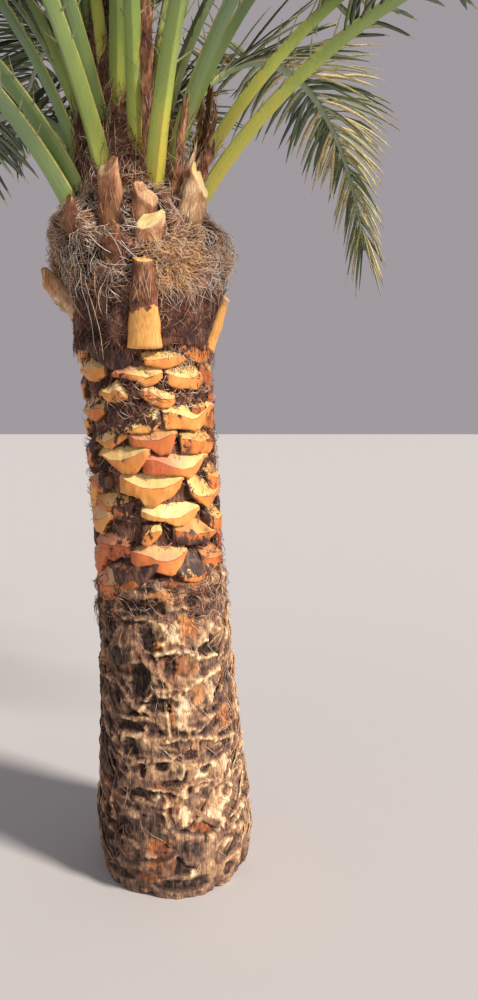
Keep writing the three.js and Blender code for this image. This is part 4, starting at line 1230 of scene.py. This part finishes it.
def make_gap_strands():
    """Fibre that shows between the leaf bases."""
    shells = Shells()
    for hand in (1, -1):
        for surface, count, z, azimuth, length, slant, spread, *rest in GAP_STRANDS:
            lay(shells, surface, count, z, azimuth, length, (hand * slant, spread), *rest)
    # Tangle where the fresh bases end
    height, lift = (0.85, 0.985), ((4, 16), (-4, 14))
    lay(shells, old_face, 800, height, ROUND, (0.03, 0.09), (95, 40), lift, (1.1, 2.2), TANGLED, 4, 45)
    # Shredded rind on the right under the collar
    height, turns, lift = (1.50, 1.66), (-70, -15), ((13, 20), (4, 16))
    lay(shells, core_surface, 260, height, turns, (0.02, 0.05), (20, 60), lift, (1.3, 2.6), SHREDDED, 4, 60)
    lift = ((10, 24), (14, 38))
    for tuft in range(TUFTS):
        low, turn = mix(1.10, 1.45, chance(tuft, 80)), mix(-192, -160, chance(tuft, 81))
        height, turns = (low, low + 0.02), (turn, turn + 5)
        lay(shells, core_surface, 9, height, turns, (0.02, 0.05), (-50, 70), lift, (1.1, 2.0), TUFTED)
    # Torn sheath at the right, and brown hair on the torn bases under the collar
    height, turns, lift = (0.98, 1.58), (-38, 12), ((14, 26), (6, 26))
    lay(shells, core_surface, 420, height, turns, (0.02, 0.06), (70, 60), lift, (1.2, 2.4), RAGGED, 4, 50)
    height, turns, lift = (1.42, 1.56), (-122, -84), ((16, 26), (4, 22))
    lay(shells, core_surface, 160, height, turns, (0.03, 0.08), (110, 40), lift, (1.1, 2.0), HAIR, 4, 45)
    shells.piece("gap_fibre", FIBRES, "fibre", ["trunk"])


def strap_face(azimuth, z):
    """Where straps lie: the weathered surface, evened out."""
    return np.maximum(core_radius(z) + 0.010, mix(core_radius(z) + 0.014, old_face(azimuth, z), 0.5))


STRAPS = 230
STRAP_POINTS = 13
STRAP_SIDES = 6
# Degrees from the front, where the straps leave room for the measured forms
STRAP_TURNS = (34, 326)


def make_old_straps():
    """Edges of old sheaths: dry straps that cross the weathered stretch on a slant and sink in at their
    ends."""
    z, azimuth = draw.uniform(0.02, 0.90, STRAPS), FRONT + np.radians(draw.uniform(*STRAP_TURNS, STRAPS))
    # Out of the sun they lean to the left as they rise, in it to the right
    hand = np.where(draw.uniform(-0.8, 0.8, STRAPS) < np.sin(azimuth - FRONT), 1, -1)
    length, angle = draw.uniform(0.07, 0.17, STRAPS), hand * draw.uniform(28, 62, STRAPS)
    lift = (draw.uniform(0.003, 0.008, STRAPS), draw.uniform(-0.012, -0.004, STRAPS))
    wander = draw.uniform(-18, 18, STRAPS)
    paths = surface_strands(azimuth, z, strap_face, length, angle, lift, wander, STRAP_POINTS)
    outward = straight_out(paths)
    across = unit(np.cross(unit(np.gradient(paths, axis=1)), outward))
    taper = np.sin(math.pi * (0.03 + 0.94 * np.linspace(0, 1, STRAP_POINTS))) ** 0.7
    half = draw.uniform(0.003, 0.010, STRAPS)[:, None] * taper * (1 + 0.45 * bumps(paths, 0.02, 60))
    turn = np.arange(STRAP_SIDES) * math.pi / 3
    rings = paths[:, :, None] + (half[..., None] * np.cos(turn))[..., None] * across[:, :, None]
    rings = rings + (0.0022 * taper[:, None] * np.sin(turn))[None, ..., None] * outward[:, :, None]
    rings = rings + (0.002 * bumps(rings, 0.012, 61))[..., None] * outward[:, :, None]
    # Painted light: the straps are painted lighter on the side the sun lights
    own = draw.uniform(0.20, 0.62, STRAPS) + 0.24 * np.clip(np.sin(azimuth - FRONT), -0.3, 1)
    tone = own[:, None, None] + 0.14 * np.cos(turn) ** 2 + 0.20 * bumps(rings, 0.02, 62)
    rust_and_painted_light = draw.choice([0.05, 0.6], size=STRAPS, p=[0.84, 0.16])[:, None, None]
    shells = Shells()
    shells.loft(rings, tone=tone, wear=0.14 + 0.30 * bumps(rings, 0.016, 63), rust_and_painted_light=rust_and_painted_light)
    shells.piece("old_sheath_edges", [WEATHERED], "trunk_bark", ["trunk"])


# The stubs

# Section of a stub as shares of its width and thickness
PLANK = [
    (-0.50, -0.12), (-0.44, 0.16), (-0.30, 0.44), (-0.10, 0.52), (0.10, 0.52), (0.30, 0.44), (0.44, 0.16),
    (0.50, -0.12), (0.40, -0.34), (0.24, -0.48), (0.08, -0.54), (-0.08, -0.54), (-0.24, -0.48),
    (-0.40, -0.34),
]
PLANK_X, PLANK_Y = np.array(PLANK).T
# Its rings from the trunk to the cut, and three that close the cut
STUB_RINGS = 25
STUB_STEPS = np.concatenate([np.linspace(0, 1, STUB_RINGS), [1.0, 1.0, 1.0]])
STUB_SHRINK = np.concatenate([np.ones(STUB_RINGS), [0.9, 0.6, 0.2]])
# Looks of stubs by leaf: tone, and the share of length up to which the outside is shaved to fresh flesh
STUB_LOOKS = {
    148: (0.3, 0.48), 150: (0.8, 0.95), 159: (0.74, 0), 167: (0.7, 0), 169: (0.22, 0), 172: (0.36, 0),
    174: (0.66, 0.2), 177: (0.55, 0), 179: (0.74, 0), 182: (0.52, 0),
}
# Stubs that are broader than the rule: shares of the width and of the thickness
STUB_BROADER = {159: (1.15, 1.7), 167: (1.1, 1.4), 174: (1.1, 1), 179: (1.42, 1.15), 182: (1.18, 1)}
# Stubs that are cut clean and nearly square, and stubs whose cut has dried brown
CLEAN_STUBS = (148, 150)
DRY_CUTS = (159, 167, 169, 172, 177, 182)
LOOSE_FIBRES = 52
LOOSE_MIX = [0.04, 0.16, 0.28, 0.22, 0.14, 0.16]


def stub_rings(row):
    """A stub as rings, and the middle of each ring."""
    leaf, length, _, root_width, cut_width, _, _, _ = row
    _, _, root, run, outward = stub_line(row)
    side = np.cross(UP, outward)
    out = np.cross(side, run)
    clean = leaf in CLEAN_STUBS
    slant = 0.3 if clean else mix(0.7, 1.5, chance(leaf, 6))
    sideways = 0.1 if clean else 0.55 * (1 if chance(leaf, 48) > 0.5 else -1)
    broader, thicker = STUB_BROADER.get(leaf, (1, 1))
    width = (mix(root_width, cut_width, STUB_STEPS**0.8) * STUB_SHRINK * broader)[:, None]
    thick = (mix(*STUB_THICK, STUB_STEPS**0.8) * STUB_SHRINK * thicker)[:, None]
    middles = root + (STUB_STEPS * length)[:, None] * run
    back = np.clip((STUB_STEPS - 0.75) / 0.25, 0, 1)[:, None]
    back = back * (slant * thick * PLANK_Y + sideways * width * PLANK_X)
    rings = middles[:, None] + (width * PLANK_X)[..., None] * side + (thick * PLANK_Y)[..., None] * out
    rings = rings - back[..., None] * run
    rough = 0.0022 * bumps(rings, (0.008, 0.008, 0.05), 40) + 0.004 * bumps(rings, 0.03, 41)
    rings = rings + unit(rings - middles[:, None] + 1e-6) * rough[..., None]
    torn = (0.005 if clean else 0.009) * (bumps(rings, 0.009, 42) + 0.9 * bumps(rings, 0.020, 46))
    return rings + run * (torn * np.clip((STUB_STEPS[:, None] - 0.8) / 0.2, 0, 1))[..., None], middles


def loosen(strands, rings, middles, shaved):
    """Loose fibres along a stub's dry sides."""
    sides, last = len(PLANK), STUB_RINGS - 1
    stretch = np.linspace(0, 1, 6)
    begin = draw.uniform(last * shaved + 1, 16 + 4 * shaved, LOOSE_FIBRES)[:, None]
    row = begin + draw.uniform(3, 8, LOOSE_FIBRES)[:, None] * stretch
    row = np.minimum(row, last).astype(int)
    column = draw.uniform(0, sides, LOOSE_FIBRES)[:, None]
    column = column + draw.uniform(-1.5, 1.5, LOOSE_FIBRES)[:, None] * stretch
    nearer, part = np.floor(column).astype(int), (column % 1)[..., None]
    path = rings[row, nearer % sides] * (1 - part) + rings[row, (nearer + 1) % sides] * part
    proud = draw.uniform(0.0002, 0.0016, LOOSE_FIBRES)[:, None]
    proud = proud + draw.uniform(-0.001, 0.007, LOOSE_FIBRES)[:, None] * stretch**3
    path = path + unit(path - middles[row]) * proud[..., None]
    colour = draw.choice(len(LOOSE_MIX), size=LOOSE_FIBRES, p=LOOSE_MIX)
    thick = draw.uniform(0.0009, 0.0018, LOOSE_FIBRES)
    strands.loft(strand_rings(path, thick), colour[:, None, None], (colour, colour))


def make_stubs():
    shells, strands = Shells(), Shells()
    steps = STUB_STEPS[:, None]
    for row in STUBS:
        leaf = row[0]
        rings, middles = stub_rings(row)
        tone, shaved = STUB_LOOKS.get(leaf, (mix(0.35, 0.65, chance(leaf, 43)), 0))
        # The cut shows fresh pith unless it has dried
        cut = 0 if leaf in DRY_CUTS else 1
        finish = np.zeros((len(STUB_STEPS) - 1, len(PLANK)), int)
        finish[STUB_RINGS - 1 :] = cut
        fresh = 0.0
        if shaved:
            jagged = bumps(rings, (0.014, 0.014, 0.03), 47)
            fresh = np.clip(0.5 + 9 * (shaved - steps + 0.10 * jagged) - 0.3, 0, 1) * (PLANK_Y > -0.4)
        tone = tone + 0.24 * bumps(rings, 0.02, 43) - 0.12 * (steps < 0.2) + 0.2 * (steps > 0.97)
        fresh = np.broadcast_to(fresh, rings.shape[:2])
        shells.loft(rings[None], finish[None], (0, cut), tone[None], fresh[None])
        if shaved < 0.9:
            loosen(strands, rings, middles, shaved)
    shells.piece("petiole_stubs", [DRY_PETIOLE, CUT_PITH], "cut_petiole", STUB_NODES)
    strands.piece("stub_strands", FIBRES, "fibre", STUB_NODES)


# The fronds

# The steps of a frond's line, and how many fronds count as older
FROND_STEPS = 60
OLDER_FRONDS = 16


def frond_of(leaf):
    """The line of a frond: its age from 1 (oldest) to 0, and stations of point, run, upper way and side."""
    age = 1 - (leaf - CROWN[0]) / CROWN_COUNT
    z = height_of(leaf, CROWN) - mix(FROND_DROP[1], FROND_DROP[0], age)
    turn, lift, droop, growth, step = STRAYS.get(leaf, (0, 0, 0, 1, 0))
    rooted = azimuth_of(leaf) + math.radians(step)
    azimuth = rooted + math.radians(mix(-4, 4, chance(leaf, 11)) + turn)
    oldest, middle, youngest = FROND_LENGTH
    base = mix(middle, oldest, 2 * age - 1) if age > 0.5 else mix(youngest, middle, 2 * age)
    length = base * mix(0.95, 1.04, chance(leaf, 7)) * growth

    def by_age(pair, power):
        return mix(pair[1], pair[0], age**power)

    lean = by_age(FROND_LEAN, 0.8) + mix(-1.5, 1.5, chance(leaf, 8)) + lift
    tip_lean = by_age(FROND_TIP_LEAN, 0.9) + mix(-5, 5, chance(leaf, 9)) + droop
    power = by_age(BEND_POWER, 1)
    sweep = mix(-9, 9, chance(leaf, 10))
    share = np.linspace(0, 1, FROND_STEPS + 1)
    tilt = np.radians(lean + (tip_lean - lean) * share**power)
    turned = azimuth + np.radians(sweep * share * share)
    outward = np.stack([np.cos(turned), np.sin(turned), 0 * turned], -1)
    run = outward * np.sin(tilt)[:, None] + UP * np.cos(tilt)[:, None]
    side = -np.cross(UP, outward)
    upper = np.cross(side, run)
    start = round_trunk(rooted, core_radius(z) - FROND_ROOT, z)
    point = start + np.concatenate([[[0, 0, 0]], np.cumsum(run[:-1] * length / FROND_STEPS, 0)])
    return {"leaf": leaf, "age": age, "point": point, "run": run, "upper": upper, "side": side}


def stations(frond, share):
    """Point, run, upper way and side of a frond at shares of its length."""
    place = np.clip(np.asarray(share) * FROND_STEPS, 0, FROND_STEPS - 1e-6)
    i = np.floor(place).astype(int)
    rows = [frond[key] for key in ("point", "run", "upper", "side")]
    return [row[i] + (row[i + 1] - row[i]) * (place - i)[..., None] for row in rows]


def splayed(run, upper, side, hand, angle, lift):
    """The way in which leaflets or spines leave a frond: angle from its run, to one hand, and lifted."""
    out = side * (hand * np.sin(angle) * np.cos(lift))[:, None]
    return unit(run * np.cos(angle)[:, None] + out + upper * (np.sin(angle) * np.sin(lift))[:, None])


def rachis_size(age, share):
    """Width and thickness of a frond's petiole and rib at shares of its length."""
    width, thick = mix(PETIOLE_WIDTH[1], PETIOLE_WIDTH[0], age), mix(PETIOLE_THICK[1], PETIOLE_THICK[0], age)
    taper = (1 - share) ** 0.8
    swell = np.exp(-share * 20)
    return (
        width * (0.36 * swell + 0.64 * taper) + RACHIS_TIP[0] * share,
        thick * (0.2 * swell + 0.8 * taper) + RACHIS_TIP[1] * share,
    )


# Section of a living petiole as shares of width and thickness: the hollowed upper side, thin margins and a
# keel below. Two of its faces are the margins.
KEEL = [
    (-0.50, 0.50), (-0.27, 0.40), (0.0, 0.36), (0.27, 0.40), (0.50, 0.50), (0.49, 0.30), (0.40, -0.04),
    (0.23, -0.42), (0.03, -0.72), (-0.03, -0.72), (-0.23, -0.42), (-0.40, -0.04), (-0.49, 0.30),
]
MARGIN_FACES = (4, 12)
# Petioles that stay yellow further up, or turn green sooner
YELLOW = {
    184: 0.34, 189: 0.34, 187: 0.2, 195: 0.1, 190: 0.04, 180: -0.16, 185: -0.12, 193: -0.16, 198: -0.1,
    192: -0.1,
}


def make_petioles(fronds):
    shells = Shells()
    share = np.concatenate([np.linspace(0, 0.3, 19), np.linspace(0.33, 1, 27)])
    u, v = np.array(KEEL).T
    rings, tones = [], []
    for frond in fronds:
        width, thick = rachis_size(frond["age"], share)
        point, _, upper, side = stations(frond, share)
        ring = (
            point[:, None]
            + (width[:, None] * u)[..., None] * side[:, None]
            + (thick[:, None] * v)[..., None] * upper[:, None]
        )
        rings.append(ring)
        yellow = YELLOW.get(frond["leaf"], 0.14 * chance(frond["leaf"], 51))
        # Painted light: the skin is painted yellower on the side that faces the key light
        painted_sunlight = np.sum(unit(ring - point[:, None]) * [0.87, -0.5, 0], -1)
        green = np.maximum(0.08 + share * 2.1 - yellow, 0.06)[:, None]
        tones.append(green - mix(0.06, 0.12, share[:, None]) * painted_sunlight)
    rings = np.stack(rings)
    finish = np.zeros((1, 1, len(u)), int)
    finish[..., list(MARGIN_FACES)] = 1
    shells.loft(rings, finish, (0, 0), np.stack(tones))
    shells.piece("petioles", [PETIOLE, MARGIN], "frond", FROND_NODES, sharp=(0, 1))


LEAFLET_STEPS = np.array([0, 0.10, 0.32, 0.62, 0.86, 1.0])
LEAFLET_WIDTHS = np.array([0.45, 0.85, 1.0, 0.86, 0.5, 0.06])


def leaflet_rings(root, run, flat, length, width, sag, curl):
    """Folded blades. root, run and flat (the way that their upper sides face) are (items, 3)."""
    t = LEAFLET_STEPS
    flat = unit(flat - np.sum(flat * run, -1, keepdims=True) * run)
    edge = np.cross(run, flat)
    line = root[:, None] + run[:, None] * (length[:, None] * t)[..., None]
    line = line - UP * (sag * length)[:, None, None] * (t**2)[None, :, None]
    line = line + flat[:, None] * (curl * length)[:, None, None] * (t**2)[None, :, None]
    half = width[:, None] / 2 * LEAFLET_WIDTHS
    fold = 0.42 * half
    thick = np.maximum(0.0016, 0.09 * half)
    points = [(-half, fold), (0 * half, 0.5 * thick), (half, fold), (0 * half, -0.8 * thick - 0.0006)]
    rings = [line + edge[:, None] * a[..., None] + flat[:, None] * b[..., None] for a, b in points]
    return np.stack(rings, 2)


LEAFLETS_A_SIDE = 96
LEAFLET_WIDTH = 0.024
# Leaflets grow in three rows, at these lifts in degrees
LEAFLET_ROWS = np.array([-16, 4, 30])
# One frond hangs and dries
DROOPING_LEAF = 194
# Places in LEAVES
PALE_LEAFLET, STRAW_LEAFLET, DRY_TIP = 3, 4, 5


def make_leaflets(fronds, name):
    shells = Shells()
    count = LEAFLETS_A_SIDE
    for frond in fronds:
        leaf, age = frond["leaf"], frond["age"]
        droops = leaf == DROOPING_LEAF
        for hand in (-1, 1):
            share = mix(PETIOLE_SHARE - 0.01, 0.992, (np.arange(count) + 0.5 * (hand > 0)) / count)
            share = share + draw.normal(0, 0.0022, count)
            blade = np.clip((share - PETIOLE_SHARE) / (1 - PETIOLE_SHARE), 0, 1)
            point, run, upper, side = stations(frond, share)
            run, upper, side = unit(run), unit(upper), unit(side)
            width, thick = rachis_size(age, share)
            reach = LEAFLET_LENGTH * (0.5 + 0.5 * np.sin(math.pi * np.minimum(1, blade * 1.25 + 0.12)))
            reach = reach * draw.uniform(0.86, 1.06, count)
            angle = np.radians(mix(*LEAFLET_SPREAD, blade) + draw.normal(0, 6, count))
            rows = LEAFLET_ROWS[(np.arange(count) + (hand > 0)) % 3]
            lift = np.radians(LEAFLET_LIFT * 0.6 + rows * 0.8 + draw.normal(0, 6, count))
            root = point + side * (hand * width * 0.40)[:, None] + upper * (thick * 0.25)[:, None]
            facing = upper + side * (hand * draw.uniform(-0.9, 0.5, count))[:, None]
            sag = LEAFLET_SAG * draw.uniform(0.4, 1.5, count) * (1 + 1.2 * blade * age)
            sag = sag + 0.35 * blade * droops
            swell = 0.6 + 0.4 * np.sin(math.pi * np.clip(blade + 0.15, 0, 1))
            across = LEAFLET_WIDTH * swell * draw.uniform(0.8, 1.1, count)
            curl = draw.normal(0, 0.02, count)
            go = splayed(run, upper, side, hand, angle, lift)
            rings = leaflet_rings(root, go, facing, reach, across, sag, curl)
            tone = mix(0.9, 0.3, age) + draw.normal(0, 0.25, count)
            colour = np.select([tone < 0.35, tone < 0.75, tone < 1.15], [0, 1, 2], PALE_LEAFLET)
            if droops:
                faded = draw.random(count) < 0.25 + 0.6 * blade
                paler = np.where(draw.random(count) < 0.5, PALE_LEAFLET, STRAW_LEAFLET)
                colour = np.where(faded, paler, colour)
            colour = np.where(draw.random(count) < 0.05 + 0.06 * age, PALE_LEAFLET, colour)
            finish = np.broadcast_to(colour[:, None], (count, len(LEAFLET_STEPS) - 1)).copy()
            dry = draw.random(count) < 0.25 + 0.35 * age
            tips = np.where(draw.random(count) < 0.5, DRY_TIP, STRAW_LEAFLET)
            finish[:, -1] = np.where(dry, tips, finish[:, -1])
            shells.loft(rings, finish[:, :, None], (colour, finish[:, -1]))
    nodes = [FROND_BY_LEAF[frond["leaf"]] for frond in fronds]
    shells.piece(name, LEAVES, "frond", nodes)


def spine_rows():
    """Geometry Nodes: a hard slender cone on every root, turned to its aim and as long as its reach."""
    tree = bpy.data.node_groups.new("spine_rows", "GeometryNodeTree")
    inputs = {"Roots": "Geometry", "Root radius": "Float", "Tip radius": "Float", "Skin": "Material"}
    for label, kind in inputs.items():
        tree.interface.new_socket(label, in_out="INPUT", socket_type=f"NodeSocket{kind}")
    tree.interface.new_socket("Spines", in_out="OUTPUT", socket_type="NodeSocketGeometry")
    given = tree.nodes.new("NodeGroupInput").outputs
    sizes = {"Radius Top": given["Tip radius"], "Radius Bottom": given["Root radius"], "Depth": 1.0}
    cone = add_node(tree, "GeometryNodeMeshCone", {"Vertices": 5, **sizes})
    aim = add_node(tree, "GeometryNodeInputNamedAttribute", {"Name": "aim"}, data_type="FLOAT_VECTOR")
    reach = add_node(tree, "GeometryNodeInputNamedAttribute", {"Name": "reach"}, data_type="FLOAT")
    turned = add_node(tree, "FunctionNodeAlignRotationToVector", {"Vector": aim}, axis="Z")
    scale = add_node(tree, "ShaderNodeCombineXYZ", {"X": 1.0, "Y": 1.0, "Z": reach})
    placed = {"Points": given["Roots"], "Instance": cone, "Rotation": turned, "Scale": scale}
    rows = add_node(tree, "GeometryNodeInstanceOnPoints", placed)
    rows = add_node(tree, "GeometryNodeRealizeInstances", {"Geometry": rows})
    rows = add_node(tree, "GeometryNodeSetMaterial", {"Geometry": rows, "Material": given["Skin"]})
    tree.links.new(rows, tree.nodes.new("NodeGroupOutput").inputs["Spines"])
    return tree


def make_spines(fronds):
    """Spines on the upper petiole: leaflets shrunk to hard points, in a row along each margin."""
    roots, aims, reaches = [], [], []
    for frond in fronds:
        for hand in (-1, 1):
            share = np.linspace(0.15, 0.265, SPINES_IN_ROW) + draw.normal(0, 0.004, SPINES_IN_ROW)
            point, run, upper, side = stations(frond, share)
            width, thick = rachis_size(frond["age"], share)
            angle = np.radians(draw.uniform(30, 60, SPINES_IN_ROW))
            lift = np.radians(draw.uniform(10, 50, SPINES_IN_ROW))
            aims.append(splayed(run, upper, side, hand, angle, lift))
            roots.append(point + side * (hand * width * 0.42)[:, None] + upper * (thick * 0.3)[:, None])
            reaches.append(mix(0.035, 0.15, (share - 0.13) / 0.135) * draw.uniform(0.7, 1.1, SPINES_IN_ROW))
    mesh = bpy.data.meshes.new("petiole_spines")
    mesh.vertices.add(len(roots) * SPINES_IN_ROW)
    mesh.vertices.foreach_set("co", np.concatenate(roots).astype(np.float32).ravel())
    marks = [("aim", "FLOAT_VECTOR", "vector", aims), ("reach", "FLOAT", "value", reaches)]
    for label, kind, key, values in marks:
        mark = mesh.attributes.new(label, kind, "POINT")
        mark.data.foreach_set(key, np.concatenate(values).astype(np.float32).ravel())
    made = bpy.data.objects.new("petiole_spines", mesh)
    bpy.context.scene.collection.objects.link(made)
    modifier = made.modifiers.new("spine_rows", "NODES")
    modifier.node_group = spine_rows()
    settings = {"Root radius": 0.0032, "Tip radius": 0.0005, "Skin": LEAVES[PALE_LEAFLET]}
    for socket in modifier.node_group.interface.items_tree:
        if socket.name in settings:
            modifier[socket.identifier] = settings[socket.name]
    grown = bpy.data.meshes.new_from_object(made.evaluated_get(bpy.context.evaluated_depsgraph_get()))
    grown.materials.clear()
    grown.materials.append(LEAVES[PALE_LEAFLET])
    grown.polygons.foreach_set("material_index", np.zeros(len(grown.polygons), np.int32))
    made.modifiers.remove(modifier)
    made.data = grown
    shown(made, FROND_NODES)


# The least radius of the core inside the heart's sheath
HEART_RADIUS = 0.034


def make_heart():
    """Fibre sheath that wraps the growing tip, up between the petioles."""
    heights = np.concatenate([np.linspace(2.05, 2.70, 60), [2.715]])

    def radius_at(azimuth, z):
        radius = np.maximum(core_radius(z), HEART_RADIUS) + 0.020
        where = round_trunk(azimuth, radius, z)
        shaggy = 0.007 * bumps(where, (0.03, 0.03, 0.05), 50) + 0.004 * bumps(where, (0.01, 0.01, 0.03), 51)
        return np.where(z > 2.71, 0.006, radius + shaggy)

    rings = ring_grid(heights, radius_at, 90)
    shells = Shells()
    shells.loft(rings, tone=(0.64 + 0.3 * bumps(rings[0], 0.04, 52))[None])
    shells.piece("heart_sheath", [FIBRE_MAT], "fibre", ["trunk"])
    shells = Shells()

    def face(_, z):
        return np.maximum(core_radius(z), HEART_RADIUS) + 0.024

    lift = ((2, 16), (0, 24))
    lay(shells, face, 2300, (2.02, 2.66), ROUND, (0.03, 0.11), (20, 60), lift, (0.9, 1.9), HEART, 4, 35)
    turns, lift = (-115, -70), ((4, 22), (0, 20))
    lay(shells, face, 260, (2.02, 2.30), turns, (0.05, 0.14), (60, 40), lift, (1.2, 2.2), HEART, 5, 40)
    shells.piece("heart_strands", FIBRES, "fibre", ["trunk"])


# Torn sheaths that stand up between the petioles: degrees from the front, foot, height, width, how far they
# lean out for their height, and tone
SHEATHS = [
    (18, 2.08, 0.80, 0.036, 0.25, 0.40), (40, 2.00, 0.28, 0.036, 0.32, 0.56),
    (48, 1.98, 0.20, 0.056, 0.36, 0.86), (60, 2.00, 0.20, 0.060, 0.50, 0.40),
]
SHEATH_COUNT = 11


def sheath_row(n):
    """A torn sheath behind, by rule, as a row of SHEATHS."""
    turn = 84 + n * 200 / SHEATH_COUNT + 12 * chance(n, 70)
    tall, width = mix(0.18, 0.42, chance(n, 71)), mix(0.05, 0.08, chance(n, 72))
    return (turn, 2.02, tall, width, 0.3, mix(0.35, 0.8, chance(n, 73)))


def make_sheaths():
    """Dry sheath left round the petioles, frayed at its top."""
    shells, strands = Shells(), Shells()
    share = np.linspace(0, 1, 26)
    u = np.linspace(-1, 1, 9)
    bow = 0.004 * (1 - u * u)
    profile = np.concatenate([np.stack([u, bow + 0.003], 1), np.stack([u[::-1], bow - 0.001], 1)])
    for turn, foot, tall, width, slope, tone in SHEATHS + [sheath_row(n) for n in range(SHEATH_COUNT)]:
        azimuth = FRONT + math.radians(turn)
        z = foot + share * tall
        radius = core_radius(foot) + 0.012 + slope * (z - foot)
        half = width / 2 * (1 - 0.45 * share**1.5)
        around = half[:, None] * profile[:, 0] / radius[:, None]
        height = np.broadcast_to(z[:, None], around.shape)
        rings = round_trunk(azimuth + around, radius[:, None] + profile[:, 1], height)
        level = rings[-1] * [1, 1, 0]
        ragged = 0.030 * bumps(level + azimuth, 0.006, 74) + 0.050 * bumps(level, 0.013, 75)
        rings[..., 2] += share[:, None] ** 3 * ragged[None]
        # Each edge is frayed in its own way
        place = (3 * np.sign(profile[:, 0]) + 9 * azimuth, share[:, None] * tall / 0.011, 0.0)
        edge = 1 + 0.30 * bumps(np.stack(np.broadcast_arrays(*place), -1), 1.0, 78)
        middle = rings.mean(1, keepdims=True)
        rings = middle + (rings - middle) * edge[..., None]
        rough = 0.007 * bumps(rings, (0.010, 0.010, 0.04), 76)
        rings[..., :2] += rough[..., None] * np.array([math.cos(azimuth), math.sin(azimuth)])
        shells.loft(rings[None], tone=(tone + 0.40 * bumps(rings, (0.008, 0.008, 0.016), 77))[None])

        def face(_, z, foot=foot, slope=slope):
            return core_radius(foot) + 0.017 + slope * (z - foot)

        spread = math.degrees(width / 2 / (core_radius(foot) + 0.012 + slope * tall / 2))
        limits = (math.degrees(azimuth) - spread, math.degrees(azimuth) + spread)
        weights = (1.5, 4, 4, 1 + 3 * tone, 3 * tone, 4)
        count = int(260 * tall + 30)
        height, lift = (foot, foot + 0.9 * tall), ((0, 6), (-2, 9))
        lay(strands, face, count, height, limits, (0.02, 0.07), (4, 26), lift, (0.9, 1.8), weights)
    shells.piece("torn_sheaths", [DRY_PETIOLE], "fibre", ["trunk"])
    strands.piece("sheath_strands", FIBRES, "fibre", ["trunk"])


def make_spears():
    """Leaves not yet open: pleated and pointed."""
    shells = Shells()
    share = np.linspace(0, 1, 26)
    turn = np.arange(16) * 2 * math.pi / 16
    for order in range(SPEAR_COUNT):
        z = SPEARS[1] + order * SPEARS[2]
        azimuth = azimuth_of(SPEARS[0] + order)
        outward = np.array([math.cos(azimuth), math.sin(azimuth), 0])
        lean = math.radians(SPEAR_LEAN[order])
        run = outward * math.sin(lean) + UP * math.cos(lean)
        side = np.cross(UP, outward)
        out = np.cross(side, run)
        root = round_trunk(azimuth, core_radius(z) - 0.020, z)
        swell = 0.55 + 0.45 * np.sin(math.pi * np.minimum(1, share + 0.22))
        width = SPEAR_WIDTH * swell * (1 - share**3) + 0.003
        pleat = 1 + 0.12 * np.cos(8 * turn)[None]
        ring = (
            (root + (share * SPEAR_LENGTH[order])[:, None] * run)[:, None]
            + (0.5 * width[:, None] * pleat * np.cos(turn))[..., None] * side
            + (0.3 * width[:, None] * pleat * np.sin(turn))[..., None] * out
        )
        shells.loft(ring[None], 2, (2, 2))
    shells.piece("spears", LEAVES, "spear", SPEAR_NODES)


# Making the pieces, in the order of their random draws

cut_leaves = {row[0] for row in STUBS}
frond_leaves = [leaf for leaf in range(CROWN[0], CROWN[0] + CROWN_COUNT + 1) if leaf not in cut_leaves]
FROND_BY_LEAF = {leaf: f"frond_{number + 1}" for number, leaf in enumerate(frond_leaves)}
fronds = [frond_of(leaf) for leaf in frond_leaves]

make_core()
OLD_SURFACE = make_old_bases()
make_cut_bases()
make_gap_strands()
make_old_straps()
make_collar()
make_collar_strands()
make_stubs()
make_petioles(fronds)
make_leaflets(fronds[:OLDER_FRONDS], "leaflets_of_older_fronds")
make_leaflets(fronds[OLDER_FRONDS:], "leaflets_of_younger_fronds")
make_spines(fronds)
make_heart()
make_sheaths()
make_spears()

# The stage, the light and the camera

floor_mesh = bpy.data.meshes.new("floor")
floor_mesh.from_pydata([(-30, -30, 0), (30, -30, 0), (30, 30, 0), (-30, 30, 0)], [], [(0, 1, 2, 3)])
floor = bpy.data.objects.new("floor", floor_mesh)
floor_finish, _, floor_surface = new_material("pale_floor", 0.9)
floor_surface.inputs["Base Color"].default_value = linear("#cfd0d2")
floor_mesh.materials.append(floor_finish)
bpy.context.scene.collection.objects.link(floor)

world = bpy.data.worlds.new("studio")
bpy.context.scene.world = world
world.use_nodes = True
world.node_tree.nodes["Background"].inputs["Color"].default_value = linear("#ede4ea")
world.node_tree.nodes["Background"].inputs["Strength"].default_value = 0.45

KEY_AZIMUTH = math.radians(-30)
KEY_HEIGHT = math.radians(34)
key = bpy.data.objects.new("key_light", bpy.data.lights.new("key_light", "SUN"))
key.data.energy = 4.7
key.data.angle = math.radians(9)
key.data.color = linear("#fff1e4")[:3]
key.rotation_euler = (math.pi / 2 - KEY_HEIGHT, 0, KEY_AZIMUTH + math.pi / 2)
bpy.context.scene.collection.objects.link(key)

# Place, tilt and lens as worked out from the photograph
camera = bpy.data.objects.new("camera", bpy.data.cameras.new("camera"))
camera.data.sensor_width = 36
camera.data.lens = 27.9
camera.data.clip_end = 100
bpy.context.scene.view_settings.view_transform = "Standard"
bpy.context.scene.view_settings.exposure = -0.1
camera.location = CAMERA
camera.rotation_euler = (math.pi / 2 - CAMERA_TILT, 0, 0)
bpy.context.scene.collection.objects.link(camera)
bpy.context.scene.camera = camera
